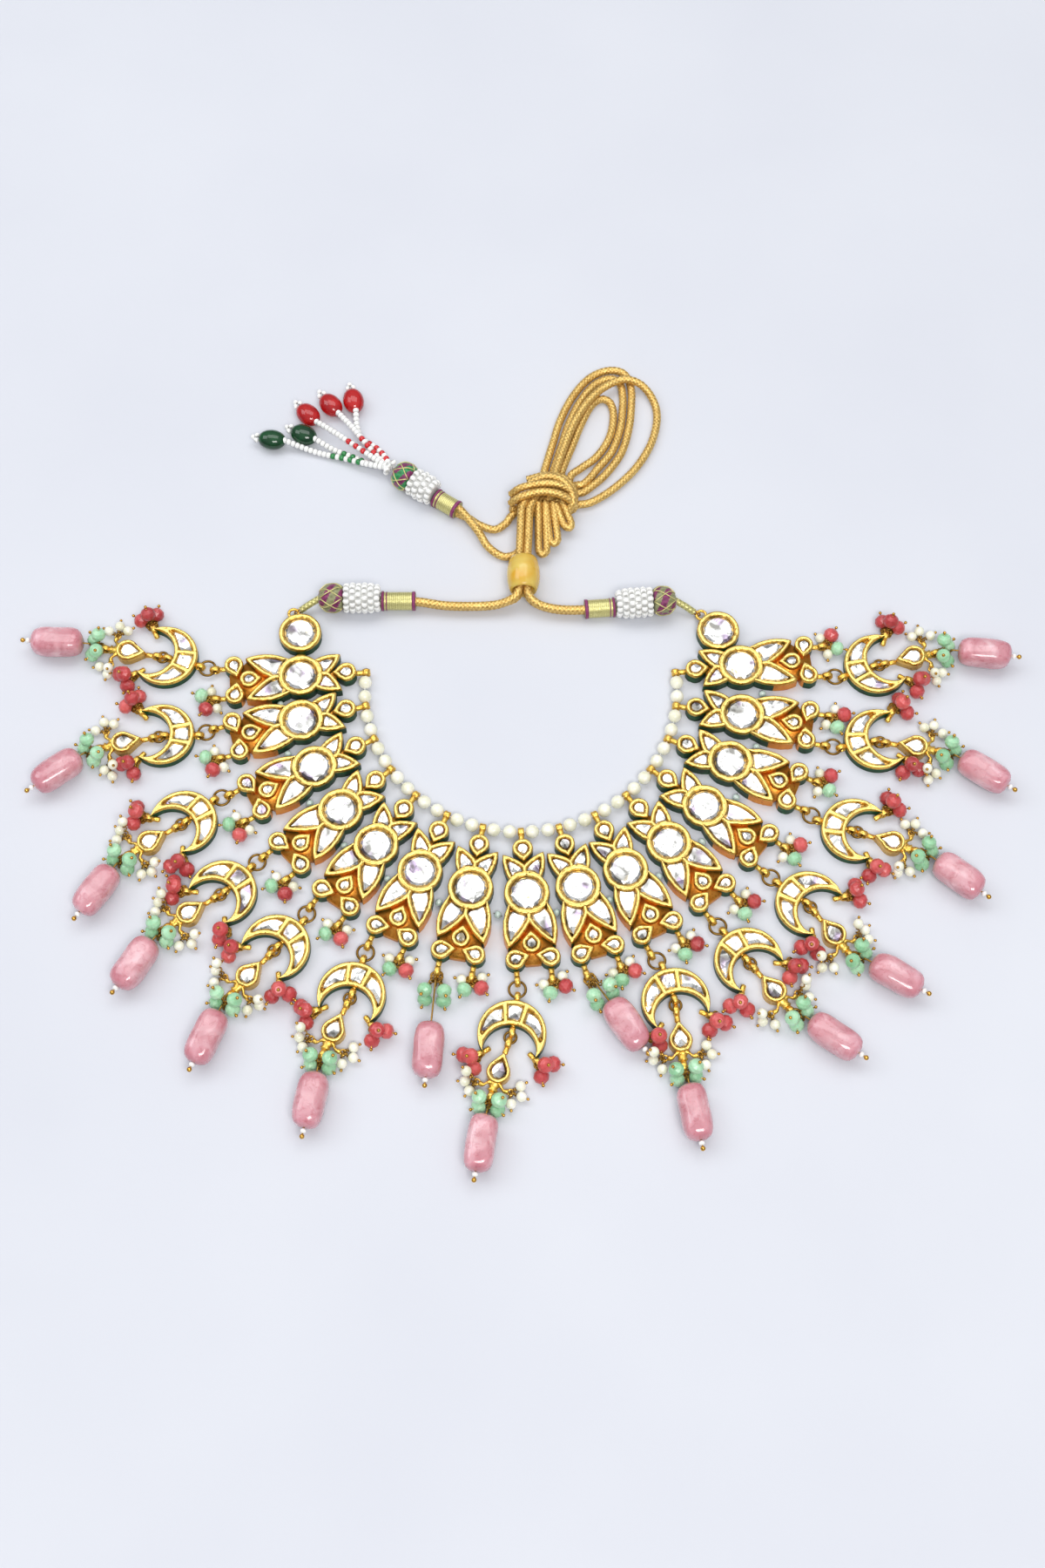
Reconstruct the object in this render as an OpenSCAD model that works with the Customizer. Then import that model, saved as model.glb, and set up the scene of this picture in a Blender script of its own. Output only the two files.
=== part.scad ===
// Kundan necklace lying flat: fifteen lotus settings on a pearl string, each with a
// hanging chain, and a dori cord with slider bead, knot, loops and tassel.
// Millimetres. The back of every setting lies on z = 0, and +Y points to the cord.

/* [Neck] */
// Radius of the pearl string round the neck
neck_r = 51; // [45:0.5:60]
// Middle of the pearl string, to the right
neck_x = 0.3; // [-20:0.1:20]
// Middle of the pearl string, towards the cord
neck_y = 67.3; // [40:0.1:90]
// Angle between neighbouring lotus settings
piece_step = 13.75; // [12:0.05:16]
// Diameter of a string pearl
pearl_d = 4.4; // [3:0.1:6]
// Diameter of the thread through the pearls
thread_d = 0.5; // [0.3:0.1:0.8]

/* [Lotus setting] */
// Height of a lotus setting
setting_h = 5; // [3:0.1:7]
// Thickness of the closed back under the stones
back_h = 1.4; // [0.8:0.1:2.5]
// Height of the plate that joins the petals
plate_h = 2; // [1:0.1:3]
// Width of the gold rim round a stone
rim_w = 1.4; // [0.8:0.1:2]
// Outer diameter of the round middle
round_d = 14.4; // [12:0.1:16]
// Distance from the thread tube to the round middle
round_x = 21.4; // [20:0.1:23]
// Distance from the thread tube to the two bails
bail_x = 49.4; // [47:0.1:52]
// Sideways distance of a bail from the middle line
bail_y = 5.4; // [4:0.1:7]

/* [Crescent] */
// Height of a crescent and its walls
crescent_h = 3.4; // [2.5:0.1:5]
// Outer radius of a crescent
crescent_r = 10.6; // [9:0.1:12]
// Radius of the hollow of a crescent
hollow_r = 8.2; // [6:0.1:9]
// Distance from the crescent's middle to the middle of its hollow
hollow_x = 5.6; // [4:0.1:7]

/* [Drop] */
// Height of a drop setting
drop_h = 3.6; // [2.5:0.1:5]
// Radius of the round end of a drop setting
drop_r = 3.65; // [3:0.05:5]

/* [Rings and beads] */
// Height of the middle of all rings and eyes above the surface
ring_z = 1.7; // [1.6:0.1:2.5]
// Radius of the ring between a lotus and its crescent, to the middle of the wire
ring_r = 2.6; // [2:0.1:3.5]
// Radius of the ring between a crescent and its drop, to the middle of the wire
small_ring_r = 1.8; // [1.5:0.1:2.5]
// Radius of the ring that carries a bunch of beads, to the middle of the wire
bunch_ring_r = 1.5; // [1.2:0.1:2]
// Diameter of a coral bead
coral_d = 5.2; // [4:0.1:6]
// Diameter of a mint bead
mint_d = 5; // [4:0.1:6]
// Diameter of a pink bead
pink_d = 10.4; // [8:0.1:12]
// Length of a pink bead
pink_len = 17.6; // [12:0.1:20]

/* [Cord] */
// Diameter of the dori cord
cord_d = 2.5; // [2:0.1:3]
// Outer diameter of a gold-thread wrap over two cords
wrap_d = 6.3; // [6:0.1:8]
// Diameter of a sleeve of seed beads
sleeve_d = 10.6; // [8:0.1:12]
// Diameter of the slider bead
slider_d = 11.1; // [10:0.1:13]
// Length of the slider bead
slider_len = 11.9; // [10:0.1:14]
// Diameter of an oval glass drop of the tassel
oval_d = 7.2; // [6:0.1:9]
// Length of an oval glass drop of the tassel
oval_len = 9.5; // [8:0.1:12]

/* [Hidden] */
$fn = 48;

pieces = 15;
middle = 7;
pearls_per_gap = 2;
tube_w = 2;
tube_d = 2.8;
tube_z = 2.3;
end_d = 14;
end_h = 4.4;
gap = 0.1;
wire_r = 0.4;
thin_wire_r = 0.3;
eye_w = 1.1;
eye_r = 1.65;
eye_hole_r = 1.05;
pin_eye_r = 1.2;
pin_r = 0.3;
mint_ring_r = 1.8;
outer_eye_x = 11.9;
inner_eye_x = 0.7;
drop_eye_x = 8.6;
foot_x = 9;
foot_arm = [5.9, 5.4];
bar_angle = 20;
bar_w = 1.2;
crescent_rim = 1.6;
wrap_z = wrap_d / 2 + 0.05;

// One row for each lotus setting, from the left end to the right end.
// lean: outward turn of the lotus. hangs: 1 with crescent and drop, 0 with a bead only.
// ring, opening, drop, bead: directions of the hanging parts, from the lotus's own.
// reach: from the last eye to the middle of the pink bead. fan_l, fan_r, fan_leaf:
// directions of the coral bunches on the two horns and of the leaf's bunch.
LEAN = 0;
HANGS = 1;
RING = 2;
OPENING = 3;
DROP = 4;
BEAD = 5;
REACH = 6;
FAN_L = 7;
FAN_R = 8;
FAN_LEAF = 9;
chains = [
    // lean, hangs, ring, opening, drop, bead, reach, fan_l, fan_r, fan_leaf
    [11, 1, -19, -21, -14, -8, 15.4, 50, 50, 15],
    [8, 1, 10, -15, -3, 22, 15.4, 50, 50, 15],
    [8, 1, -8, 12, 4, 28, 15.4, 50, 37, 15],
    [8.5, 1, 0, 3, -9, 13, 15.4, 49, 24, 15],
    [7, 1, 12, -8, -7, 11, 15.4, 0, 50, 15],
    [5, 1, 7, 7, -1, 12, 15.4, 55, 50, 15],
    [4, 0, 5, 5, 5, 5, 26.2, 0, 0, 15],
    [5, 1, -5, -13, -23, -15, 15.4, 45, 55, 20],
    [2, 0, 12, 12, 19, 19, 20.6, 0, 0, 20],
    [-1.5, 1, 15, -8, -20, -16, 15.4, 6, 7, 15],
    [-3.5, 1, 5, -1, 0, 16, 15.4, 50, 7, 15],
    [-4, 1, -4, 2, -15, 8, 15.4, 73, 50, 15],
    [-2.5, 1, -18, 6, 4, -15, 15.4, 50, 60, 15],
    [-2.5, 1, 2, 22, 0, -24, 15.4, 90, 14, -20],
    [-1, 1, -11, 16, 8, -12, 15.4, 50, 45, 15],
];

// Places of the pieces in the plane of the necklace
neck = [neck_x, neck_y];
function unit(angle) = [cos(angle), sin(angle)];
function at(origin, angle, x, y) = origin + x * unit(angle) + y * unit(angle + 90);
function tube_angle(i) = 270 + (i - middle) * piece_step;
function tube_point(i) = neck + neck_r * unit(tube_angle(i));
function lotus_angle(i) = tube_angle(i) + chains[i][LEAN];
function on_lotus(i, x, y) = at(tube_point(i), lotus_angle(i), x, y);
function turned(i, column) = lotus_angle(i) + chains[i][column];
function hangs(i) = chains[i][HANGS] == 1;
function chain_eye(i) = on_lotus(i, bail_x, -bail_y);
function leaf_eye(i) = on_lotus(i, bail_x, bail_y);
function ring_center(i) = chain_eye(i) + ring_r * unit(turned(i, RING));
function crescent_center(i) = chain_eye(i) + 2 * ring_r * unit(turned(i, RING))
    + outer_eye_x * unit(turned(i, OPENING));
function inner_eye(i) = crescent_center(i) - inner_eye_x * unit(turned(i, OPENING));
function small_ring_center(i) = inner_eye(i) + small_ring_r * unit(turned(i, DROP));
function drop_center(i) = inner_eye(i) + (2 * small_ring_r + drop_eye_x) * unit(turned(i, DROP));
function bead_eye(i) = hangs(i) ? drop_center(i) + foot_x * unit(turned(i, DROP)) : chain_eye(i);
horn_x = (pow(crescent_r, 2) - pow(hollow_r, 2) + pow(hollow_x, 2)) / (2 * hollow_x);
horn_y = sqrt(pow(crescent_r, 2) - pow(horn_x, 2));
horn_eye = [horn_x + 0.8, horn_y + 0.8];
horn_angle = 50;

hanging = [for (i = [0:pieces - 1]) if (hangs(i)) i];

// General shapes

// A wire from one point to another
module wire(from, to, r) {
    run = to - from;
    length = norm(run);
    translate(from)
        rotate([0, acos(run.z / length), atan2(run.y, run.x)])
            cylinder(h = length, r = r);
}

module ring(r, wire) {
    rotate_extrude()
        translate([r, 0])
            circle(wire);
}

// A short tube whose hole runs sideways
module eye(width = eye_w) {
    rotate([90, 0, 0])
        difference() {
            cylinder(h = width, r = eye_r, center = true);
            cylinder(h = width + 1, r = eye_hole_r, center = true);
        }
}

// An eye at x = 0 on a neck that comes from negative x
module necked_eye(neck_len) {
    eye();
    translate([-eye_r - neck_len, 0, 0])
        rotate([0, 90, 0])
            cylinder(h = neck_len + 0.3, r = 0.8);
}

// A solid of revolution lying along x, from its lengths and radii
module lying(profile) {
    rotate([0, 90, 0])
        rotate_extrude()
            polygon([for (p = profile) [p[1], p[0]]]);
}

module stand(p, angle, z = 0) {
    translate([p.x, p.y, z])
        rotate([0, 0, angle])
            children();
}

// Flat outlines of the lotus, with the middle line along x

module tear(center, r, tip) {
    run = tip - center;
    reach = norm(run);
    lean = atan2(run.y, run.x);
    spread = acos(r / reach);
    translate(center)
        circle(r);
    polygon([tip, center + r * unit(lean + spread), center + r * unit(lean - spread)]);
}

// A petal between an outer arc, an inner arc and a start line
module arc_petal(outer, outer_r, inner, inner_r, from_x, to_x, cut) {
    intersection() {
        translate(outer)
            circle(outer_r - cut);
        translate(inner)
            circle(inner_r - cut);
        translate([from_x, -12])
            square([to_x - from_x, 12.05 - cut / 2]);
    }
}

module upper_petal(cut = 0) {
    arc_petal([10.5, 6.3], 13, [22.1, -10.5], 14.6, 5, round_x - 2, cut);
}

module lower_petal(cut = 0) {
    arc_petal([33.4, 7.6], 16.1, [19.2, -20.6], 24.1, round_x + 1, 42, cut);
}

module pair_leaf(cut = 0) {
    tear([43, -5.5], 3.1 - cut, [42.1, -0.75 - 1.5 * cut]);
}

module single_leaf(cut = 0) {
    tear([38.3, 0], 3 - cut, [33.9 + 1.4 * cut, 0]);
}

module inner_tear(cut = 0) {
    tear([6.4, 0], 3.25 - cut, [10.9 - 1.4 * cut, 0]);
}

module both_sides() {
    children();
    mirror([0, 1, 0])
        children();
}

module petal_outline() {
    inner_tear();
    both_sides() {
        upper_petal();
        lower_petal();
        pair_leaf();
    }
    translate([round_x, 0])
        circle(d = round_d);
    single_leaf();
}

module windows() {
    difference() {
        both_sides() {
            upper_petal(rim_w);
            lower_petal(rim_w);
        }
        translate([round_x, 0])
            circle(d = round_d);
    }
    inner_tear(rim_w);
    both_sides()
        pair_leaf(rim_w);
    single_leaf(rim_w);
    translate([round_x, 0])
        circle(d = round_d - 2.6 * rim_w);
}

// Lotus setting: closed-back petals, thread tube and two bails
module lotus_body() {
    difference() {
        union() {
            linear_extrude(setting_h)
                petal_outline();
            linear_extrude(plate_h) {
                polygon([[30, 0], [38.6, -6.9], [40.8, -4.5], [44.6, -2.4],
                    [44.6, 2.4], [40.8, 4.5], [38.6, 6.9]]);
                polygon([[9, -0.8], [14, -2.6], [14, 2.6], [9, 0.8]]);
            }
            translate([1, -0.9, 0.8])
                cube([3, 1.8, 3]);
            translate([0, 0, tube_z])
                rotate([90, 0, 0])
                    cylinder(h = tube_w, d = tube_d, center = true);
            both_sides()
                translate([bail_x, -bail_y, ring_z])
                    necked_eye(2.6);
        }
        translate([0, 0, back_h])
            linear_extrude(setting_h)
                windows();
        translate([0, 0, tube_z])
            rotate([90, 0, 0])
                cylinder(h = tube_w + 2, d = thread_d + 0.4, center = true);
    }
}

// Round end setting, soldered to the side of an end lotus, with a flat eye for the cord
module end_setting(place, eye_angle, side) {
    stand(place, 0) {
        difference() {
            cylinder(h = end_h, d = end_d);
            translate([0, 0, back_h])
                cylinder(h = end_h, d = end_d - 3.4);
        }
        rotate([0, 0, eye_angle])
            translate([end_eye_x, 0, end_eye_z])
                ring(end_eye_r, 0.5);
        rotate([0, 0, side])
            translate([end_d / 2 - 0.5, -1.5, 0])
                cube([end_bar + 0.5, 3, back_h]);
    }
}
end_bar = 3;
end_eye_x = end_d / 2 + 1.5;
end_eye_z = 1.7;
end_eye_r = 1.6;
left_side = -87;
right_side = -93;
left_eye_angle = 108;
right_eye_angle = 128;
// Each end setting stands off from the point of its lotus where its bar is soldered
left_foot = [-72.08, 77.11];
right_foot = [64.88, 77.91];
left_end = left_foot - (end_d / 2 + end_bar) * unit(left_side);
right_end = right_foot - (end_d / 2 + end_bar) * unit(right_side);

module lotus_setting(number) {
    i = number - 1;
    color([0.88, 0.68, 0.25]) {
        stand(tube_point(i), lotus_angle(i))
            lotus_body();
        if (i == 0) end_setting(left_end, left_eye_angle, left_side);
        if (i == pieces - 1) end_setting(right_end, right_eye_angle, right_side);
    }
}

// Crescent with three windows, an eye on its back, one in its hollow and two on its horns
module crescent_outline(cut = 0) {
    difference() {
        circle(crescent_r - cut);
        translate([hollow_x, 0])
            circle(hollow_r + cut);
    }
}

module crescent(number) {
    i = number - 1;
    color([0.88, 0.68, 0.25])
        stand(crescent_center(i), turned(i, OPENING)) {
            difference() {
                linear_extrude(crescent_h)
                    crescent_outline();
                translate([0, 0, back_h])
                    linear_extrude(crescent_h)
                        difference() {
                            crescent_outline(crescent_rim);
                            for (turn = [-bar_angle, bar_angle])
                                rotate(180 + turn)
                                    translate([0, -bar_w / 2])
                                        square([crescent_r, bar_w]);
                        }
            }
            translate([-outer_eye_x, 0, ring_z])
                mirror([1, 0, 0])
                    necked_eye(0.4);
            translate([-inner_eye_x, 0, ring_z])
                necked_eye(0.6);
            both_sides()
                translate([horn_eye.x, -horn_eye.y, ring_z])
                    rotate([0, 0, -horn_angle])
                        necked_eye(0.9);
        }
}

// Drop setting: teardrop frame with a stem and eye, and a three-armed foot
module drop_setting(i) {
    stand(drop_center(i), turned(i, DROP)) {
        difference() {
            linear_extrude(drop_h)
                tear([1.3, 0], drop_r, [-5, 0]);
            translate([0, 0, back_h])
                linear_extrude(drop_h)
                    tear([1.3, 0], drop_r - 1.2, [-2.9, 0]);
        }
        translate([-drop_eye_x, 0, ring_z])
            mirror([1, 0, 0])
                necked_eye(2.4);
        translate([foot_x, 0, ring_z])
            necked_eye(2.6);
        both_sides() {
            wire([5.4, 0, ring_z], [foot_arm.x, -foot_arm.y + 0.9, ring_z], 0.5);
            translate([foot_arm.x, -foot_arm.y, ring_z])
                ring(0.9, thin_wire_r);
        }
    }
}

module drop_settings() {
    color([0.85, 0.64, 0.22])
        for (i = hanging)
            drop_setting(i);
}

// Cut stones: a girdle with the outline and a crown that narrows to a flat table

module cut_stone(outline, center, girdle, top, table) {
    translate([center.x, center.y, back_h + gap]) {
        linear_extrude(girdle)
            polygon([for (p = outline) p - center]);
        translate([0, 0, girdle])
            linear_extrude(top, scale = table)
                polygon([for (p = outline) p - center]);
    }
}

function round_outline(r, sides) = [for (k = [0:sides - 1]) r * unit((k + 0.5) * 360 / sides)];

module centre_stones() {
    stone_r = round_d / 2 - 1.3 * rim_w - gap;
    end_stone_r = end_d / 2 - 1.7 - gap;
    color([0.92, 0.93, 0.96]) {
        for (i = [0:pieces - 1])
            stand(on_lotus(i, round_x, 0), lotus_angle(i))
                cut_stone(round_outline(stone_r, 14), [0, 0], 2.8, 1.1, 0.62);
        for (place = [left_end, right_end])
            stand(place, 0)
                cut_stone(round_outline(end_stone_r, 14), [0, 0], 2.4, 1, 0.62);
    }
}

upper_outline = [[10.4, -4.9], [11, -3.7], [12, -2.3], [13.2, -1], [14, -0.8], [14.4, -2.2],
    [14.8, -3.3], [15.2, -4], [14.2, -4.5], [12.4, -4.9], [11, -5.1]];
lower_outline = [[28.8, -0.8], [30.3, -0.9], [33, -2.8], [36.6, -6.3], [34, -6.9],
    [31, -6.7], [28.4, -6], [26.9, -5.3], [27.6, -4], [28.4, -2.6]];

module petal_stones() {
    color([0.9, 0.91, 0.95])
        for (i = [0:pieces - 1])
            stand(tube_point(i), lotus_angle(i))
                both_sides() {
                    cut_stone(upper_outline, [12.6, -3.6], 2.6, 0.9, 0.6);
                    cut_stone(lower_outline, [30.8, -4.4], 2.6, 0.9, 0.6);
                }
}

// Pearl string

module string_pearls() {
    free = piece_step - tube_w / neck_r * 180 / PI;
    step = free / pearls_per_gap;
    color([0.93, 0.92, 0.84])
        for (i = [0:pieces - 2], k = [0:pearls_per_gap - 1]) {
            angle = tube_angle(i) + (piece_step - free) / 2 + (k + 0.5) * step;
            stand(neck + neck_r * unit(angle), angle, tube_z)
                rotate([90, 0, 0])
                    difference() {
                        sphere(d = pearl_d);
                        cylinder(h = pearl_d + 1, d = thread_d + 0.3, center = true);
                    }
        }
}

module pearl_thread() {
    color([0.9, 0.88, 0.8])
        translate([neck.x, neck.y, tube_z])
            rotate([0, 0, tube_angle(0) - 1])
                rotate_extrude(angle = (pieces - 1) * piece_step + 2, $fn = 240)
                    translate([neck_r, 0])
                        circle(d = thread_d);
}

// Rings that join the chains

module jump_rings() {
    color([0.8, 0.6, 0.22])
        for (i = hanging) {
            stand(ring_center(i), 0, ring_z)
                ring(ring_r, wire_r);
            stand(small_ring_center(i), 0, ring_z)
                ring(small_ring_r, wire_r);
        }
}

// Bunches of beads, each one solid with the flat ring that goes through an eye.
// Each bead is [x, y, z, radius]; a hub behind the beads joins them to the ring.
module bunch(beads, fan) {
    translate([bunch_ring_r, 0, ring_z])
        ring(bunch_ring_r, 0.35);
    rotate([0, 0, fan]) {
        translate([3.3, 0, hub_r])
            sphere(hub_r);
        for (bead = beads)
            translate([bead[0], bead[1], bead[2]])
                sphere(bead[3]);
    }
}
hub_r = 1.45;
// Horns with too little room for three beads, as [lotus index, side]
narrow_bunches = [[3, 1], [4, -1], [9, -1]];

module coral_bunches() {
    r = coral_d / 2;
    full = [[4.1, -2.7, r, r], [3.3, 0, 6.4, r], [4.1, 2.7, r, r]];
    narrow = [[4.3, 0, r, r], [2.4, 0, 6.9, r]];
    color([0.85, 0.36, 0.34])
        for (i = hanging, side = [-1, 1]) {
            fan = side < 0 ? chains[i][FAN_L] : chains[i][FAN_R];
            is_narrow = max([for (p = narrow_bunches) p == [i, side] ? 1 : 0]) == 1;
            place = at(crescent_center(i), turned(i, OPENING), horn_eye.x, side * horn_eye.y);
            stand(place, turned(i, OPENING) + side * horn_angle)
                bunch(is_narrow ? narrow : full, side * (fan - horn_angle));
        }
}

module leaf_bunches() {
    beads = [[0.6, -3.2, 1.7, 1.7], [4.2, -2.6, 2.5, 2.5],
        [4.2, 2.6, 2.6, 2.6], [0.6, 3.2, 1.7, 1.7]];
    color([0.75, 0.62, 0.5])
        for (i = [0:pieces - 1])
            stand(leaf_eye(i), turned(i, FAN_LEAF))
                bunch(beads, 0);
}

// The bead-only chains have longer wires from the ring to their mint beads
module mint_bunches() {
    r = mint_d / 2;
    color([0.62, 0.87, 0.7])
        for (i = [0:pieces - 1]) {
            shift = hangs(i) ? 0 : 2 * ring_r + 0.6;
            stand(bead_eye(i), turned(i, BEAD)) {
                translate([mint_ring_r, 0, ring_z])
                    ring(mint_ring_r, 0.35);
                for (side = [-1, 1]) {
                    translate([3.9 + shift, side * 2.9, r])
                        sphere(r);
                    translate([1.9 + shift, side * 3, 6.1])
                        sphere(r);
                    if (shift > 0)
                        wire([3.1, side * 1.3, ring_z], [3.9 + shift, side * 2.9, r], 0.2);
                }
            }
        }
}

// Pink beads on pins that hook round the ring of the mint bunch

module pink_bead(i) {
    straight = pink_len - pink_d;
    stand(bead_eye(i), turned(i, BEAD), pink_d / 2)
        translate([chains[i][REACH], 0, 0])
            rotate([0, 90, 0])
                difference() {
                    union() {
                        cylinder(h = straight, d = pink_d, center = true);
                        for (side = [-1, 1])
                            translate([0, 0, side * straight / 2])
                                sphere(d = pink_d);
                    }
                    cylinder(h = pink_len + 1, r = pin_r + 0.2, center = true);
                }
}

module pink_beads_left() {
    color([0.88, 0.6, 0.68])
        for (i = [0:middle])
            pink_bead(i);
}

module pink_beads_right() {
    color([0.88, 0.6, 0.68])
        for (i = [middle + 1:pieces - 1])
            pink_bead(i);
}

// Pin with a seed bead and a smaller ball beyond the pink bead, turned as one piece
module pin_shaft(length) {
    rotate_extrude()
        intersection() {
            union() {
                square([pin_r, length + 2.8]);
                translate([0, length + 1])
                    circle(0.9);
                translate([0, length + 2.8])
                    circle(0.8);
            }
            square([2, length + 5]);
        }
}

module pink_pins() {
    z = pink_d / 2;
    color([0.72, 0.54, 0.2])
        for (i = [0:pieces - 1]) {
            hook = 2 * mint_ring_r;
            tip = chains[i][REACH] + pink_len / 2;
            stand(bead_eye(i), turned(i, BEAD)) {
                translate([hook, 0, ring_z])
                    rotate([90, 0, 0])
                        ring(pin_eye_r, pin_r);
                wire([hook, 0, ring_z + pin_eye_r - 0.2], [hook, 0, z + 0.4], 0.4);
                translate([hook, 0, z])
                    rotate([0, 90, 0])
                        pin_shaft(tip - hook);
            }
        }
}

// Cords: eight-sided tubes along hand-laid points [x, y, z]

function tangent(route, k) =
    let (run = route[min(k + 1, len(route) - 1)] - route[max(k - 1, 0)]) run / norm(run);
function section(point, along, r) =
    let (flat = norm([along.x, along.y]), side = [-along.y, along.x, 0] / flat, up = cross(along, side))
    [for (k = [0:7]) point + r * (cos(45 * k + 22.5) * side + sin(45 * k + 22.5) * up)];

module tube(route, r = cord_d / 2) {
    last = len(route) - 1;
    points = [for (k = [0:last]) each section(route[k], tangent(route, k), r)];
    walls = [for (k = [0:last - 1], j = [0:7])
        let (a = 8 * k + j, b = 8 * k + (j + 1) % 8)
        each [[a, a + 8, b], [b, a + 8, b + 8]]];
    caps = [[for (j = [0:7]) j], [for (j = [7:-1:0]) 8 * last + j]];
    polyhedron(points, concat(walls, caps));
}

slider = [1.1, 107.7, 5.6];
strand_low = 4.3;
strand_high = 6.9;

left_a_route = [[-45.6, 99.6, 1.9], [-39.2, 99.5, 1.9], [-33.2, 99.3, 1.8], [-25.2, 98.2, 1.4],
    [-16.6, 97.9, 1.4], [-9.2, 98.2, 1.6], [-4.6, 99, 2.7], [-1.4, 100, 3.8], [-0.2, 102.6, strand_low],
    [-0.2, 108, strand_low], [-0.2, 114.5, strand_low], [0.1, 123, 4], [0.4, 132.3, 4]];
left_b_route = [[-45.6, 98.6, 4.5], [-39.2, 98.5, 4.5], [-33.2, 98.3, 4.4], [-25.2, 97.2, 4],
    [-16.6, 96.9, 4], [-8.8, 97.2, 4.2], [-4.2, 98, 5.3], [-1.3, 99.6, 6.4], [-0.2, 102.6, strand_high],
    [-0.2, 108, strand_high], [-0.2, 114.5, strand_high], [0.1, 123, 6.8], [0.4, 132.3, 6.8]];
right_a_route = [[31.2, 97.2, 1.9], [25.8, 96.8, 1.9], [20, 96.3, 1.8], [13.2, 96.6, 1.5],
    [8, 97.5, 2], [4.6, 98.8, 2.9], [2.7, 100.8, 3.9], [2.4, 103, strand_low], [2.4, 108, strand_low],
    [2.4, 114.5, strand_low], [2.8, 123, 4], [3.1, 132.3, 4]];
right_b_route = [[31.2, 96.3, 4.5], [25.8, 95.9, 4.5], [20, 95.4, 4.4], [13.2, 95.6, 4.2],
    [7.5, 96.6, 4.7], [4.2, 98.3, 5.6], [2.6, 100.6, 6.5], [2.4, 103, strand_high], [2.4, 108, strand_high],
    [2.4, 114.5, strand_high], [2.8, 123, 6.8], [3.1, 132.3, 6.8]];

// Loop a is the long outer loop on the left, b the wide one that lies on top,
// c the short inner one, and d the one that lies inside loop a
loop_a_route = [[7.6, 147, 1.6], [8.6, 152, 1.4], [11.3, 162, 1.4], [13.8, 171, 1.4],
    [18, 180.5, 1.4], [23.8, 188.3, 1.4], [30.3, 191.8, 1.4], [36, 190.8, 1.4],
    [38.6, 185, 1.4], [38.6, 177, 1.4], [37.6, 168, 1.4], [34.8, 158, 1.4],
    [29.4, 149.6, 1.4], [24.2, 144.4, 1.4], [21.4, 142.2, 1.5], [19.3, 141.8, 1.6]];
loop_b_route = [[11.8, 147, 4.5], [13, 152, 4.2], [15.8, 161, 4.1], [19, 169.5, 4.1],
    [23.8, 177.6, 4.1], [29.4, 183.2, 4.1], [36.2, 186.4, 4.1], [42.2, 184.6, 3.3],
    [46.4, 179, 1.7], [47.4, 171.5, 1.4], [45, 161.5, 1.4], [39.4, 151.6, 1.4],
    [31.8, 143.6, 1.4], [24.4, 138.4, 1.5], [19.5, 137.2, 1.6]];
loop_c_route = [[13.4, 147, 1.6], [14.7, 152, 1.4], [18, 161, 1.4], [21.2, 170, 1.4],
    [24.8, 177.4, 1.4], [28.4, 180, 1.4], [31.5, 178, 1.4], [32.3, 172, 1.4],
    [30.7, 164, 1.4], [26.4, 156.6, 1.4], [21, 152, 1.4], [17.8, 149.4, 1.5], [16.8, 147.1, 1.6]];
loop_d_route = [[10.5, 147, 1.6], [11.7, 152, 1.4], [14.4, 161.4, 1.4], [17, 170.2, 1.4],
    [20.8, 178.8, 1.4], [25.7, 185.6, 1.4], [30.9, 188.4, 1.4], [34.7, 186.6, 1.4],
    [35.7, 181, 1.4], [35.5, 175, 1.4], [34.5, 167.2, 1.4], [31.6, 158.6, 1.4],
    [26.7, 151.8, 1.4], [23.6, 147.6, 1.4], [21.4, 145.4, 1.5], [19.3, 145, 1.6]];
tail_a_route = [[-28, 138.1, 1.9], [-21.9, 134, 1.8], [-17.8, 132.2, 1.5],
    [-13.8, 129.4, 1.4], [-8.8, 127.6, 1.4], [-5.1, 129.8, 1.4], [-3.4, 132.3, 1.6]];
tail_b_route = [[-27.5, 138.8, 4.5], [-21.4, 134.7, 4.4], [-18, 131, 4],
    [-14, 125.4, 3.6], [-10.8, 120.4, 2.4], [-5.8, 117.2, 1.4], [-1.2, 118.4, 1.35],
    [0.8, 123, 1.35], [1.7, 128, 1.35], [2, 132.3, 1.4]];

gold_cord = [0.8, 0.65, 0.38];

module cord_left_a() {
    color(gold_cord)
        tube(left_a_route);
}

module cord_left_b() {
    color(gold_cord)
        tube(left_b_route);
}

module cord_right_a() {
    color(gold_cord)
        tube(right_a_route);
}

module cord_right_b() {
    color(gold_cord)
        tube(right_b_route);
}

module loop_a() {
    color(gold_cord)
        tube(loop_a_route);
}

module loop_b() {
    color(gold_cord)
        tube(loop_b_route);
}

module loop_c() {
    color(gold_cord)
        tube(loop_c_route);
}

module loop_d() {
    color(gold_cord)
        tube(loop_d_route);
}

module tail_a() {
    color(gold_cord)
        tube(tail_a_route);
}

module tail_b() {
    color(gold_cord)
        tube(tail_b_route);
}

// Knot: a tight core, two wraps over it and three short bights below it
knot_from = [-4.8, 132.7];
knot_to = [19, 146.6];
knot_h = 8.6;
bights = [[7.4, 132.9, 7.6, 117.8], [10.2, 132.9, 11.4, 122], [14.2, 132.9, 16.2, 128]];

module knot_wrap(y) {
    half_h = 3.6;
    z = half_h + cord_d / 2 + 0.1;
    for (side = [-1, 1])
        translate([side < 0 ? knot_from.x + half_h : knot_to.x - half_h - 2, y, z])
            rotate([90, 0, 0])
                rotate([0, 0, side < 0 ? 90 : -90])
                    rotate_extrude(angle = 180)
                        translate([half_h, 0])
                            circle(d = cord_d);
    for (dz = [-half_h, half_h])
        wire([knot_from.x + half_h, y, z + dz], [knot_to.x - half_h - 2, y, z + dz], cord_d / 2);
}

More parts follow.
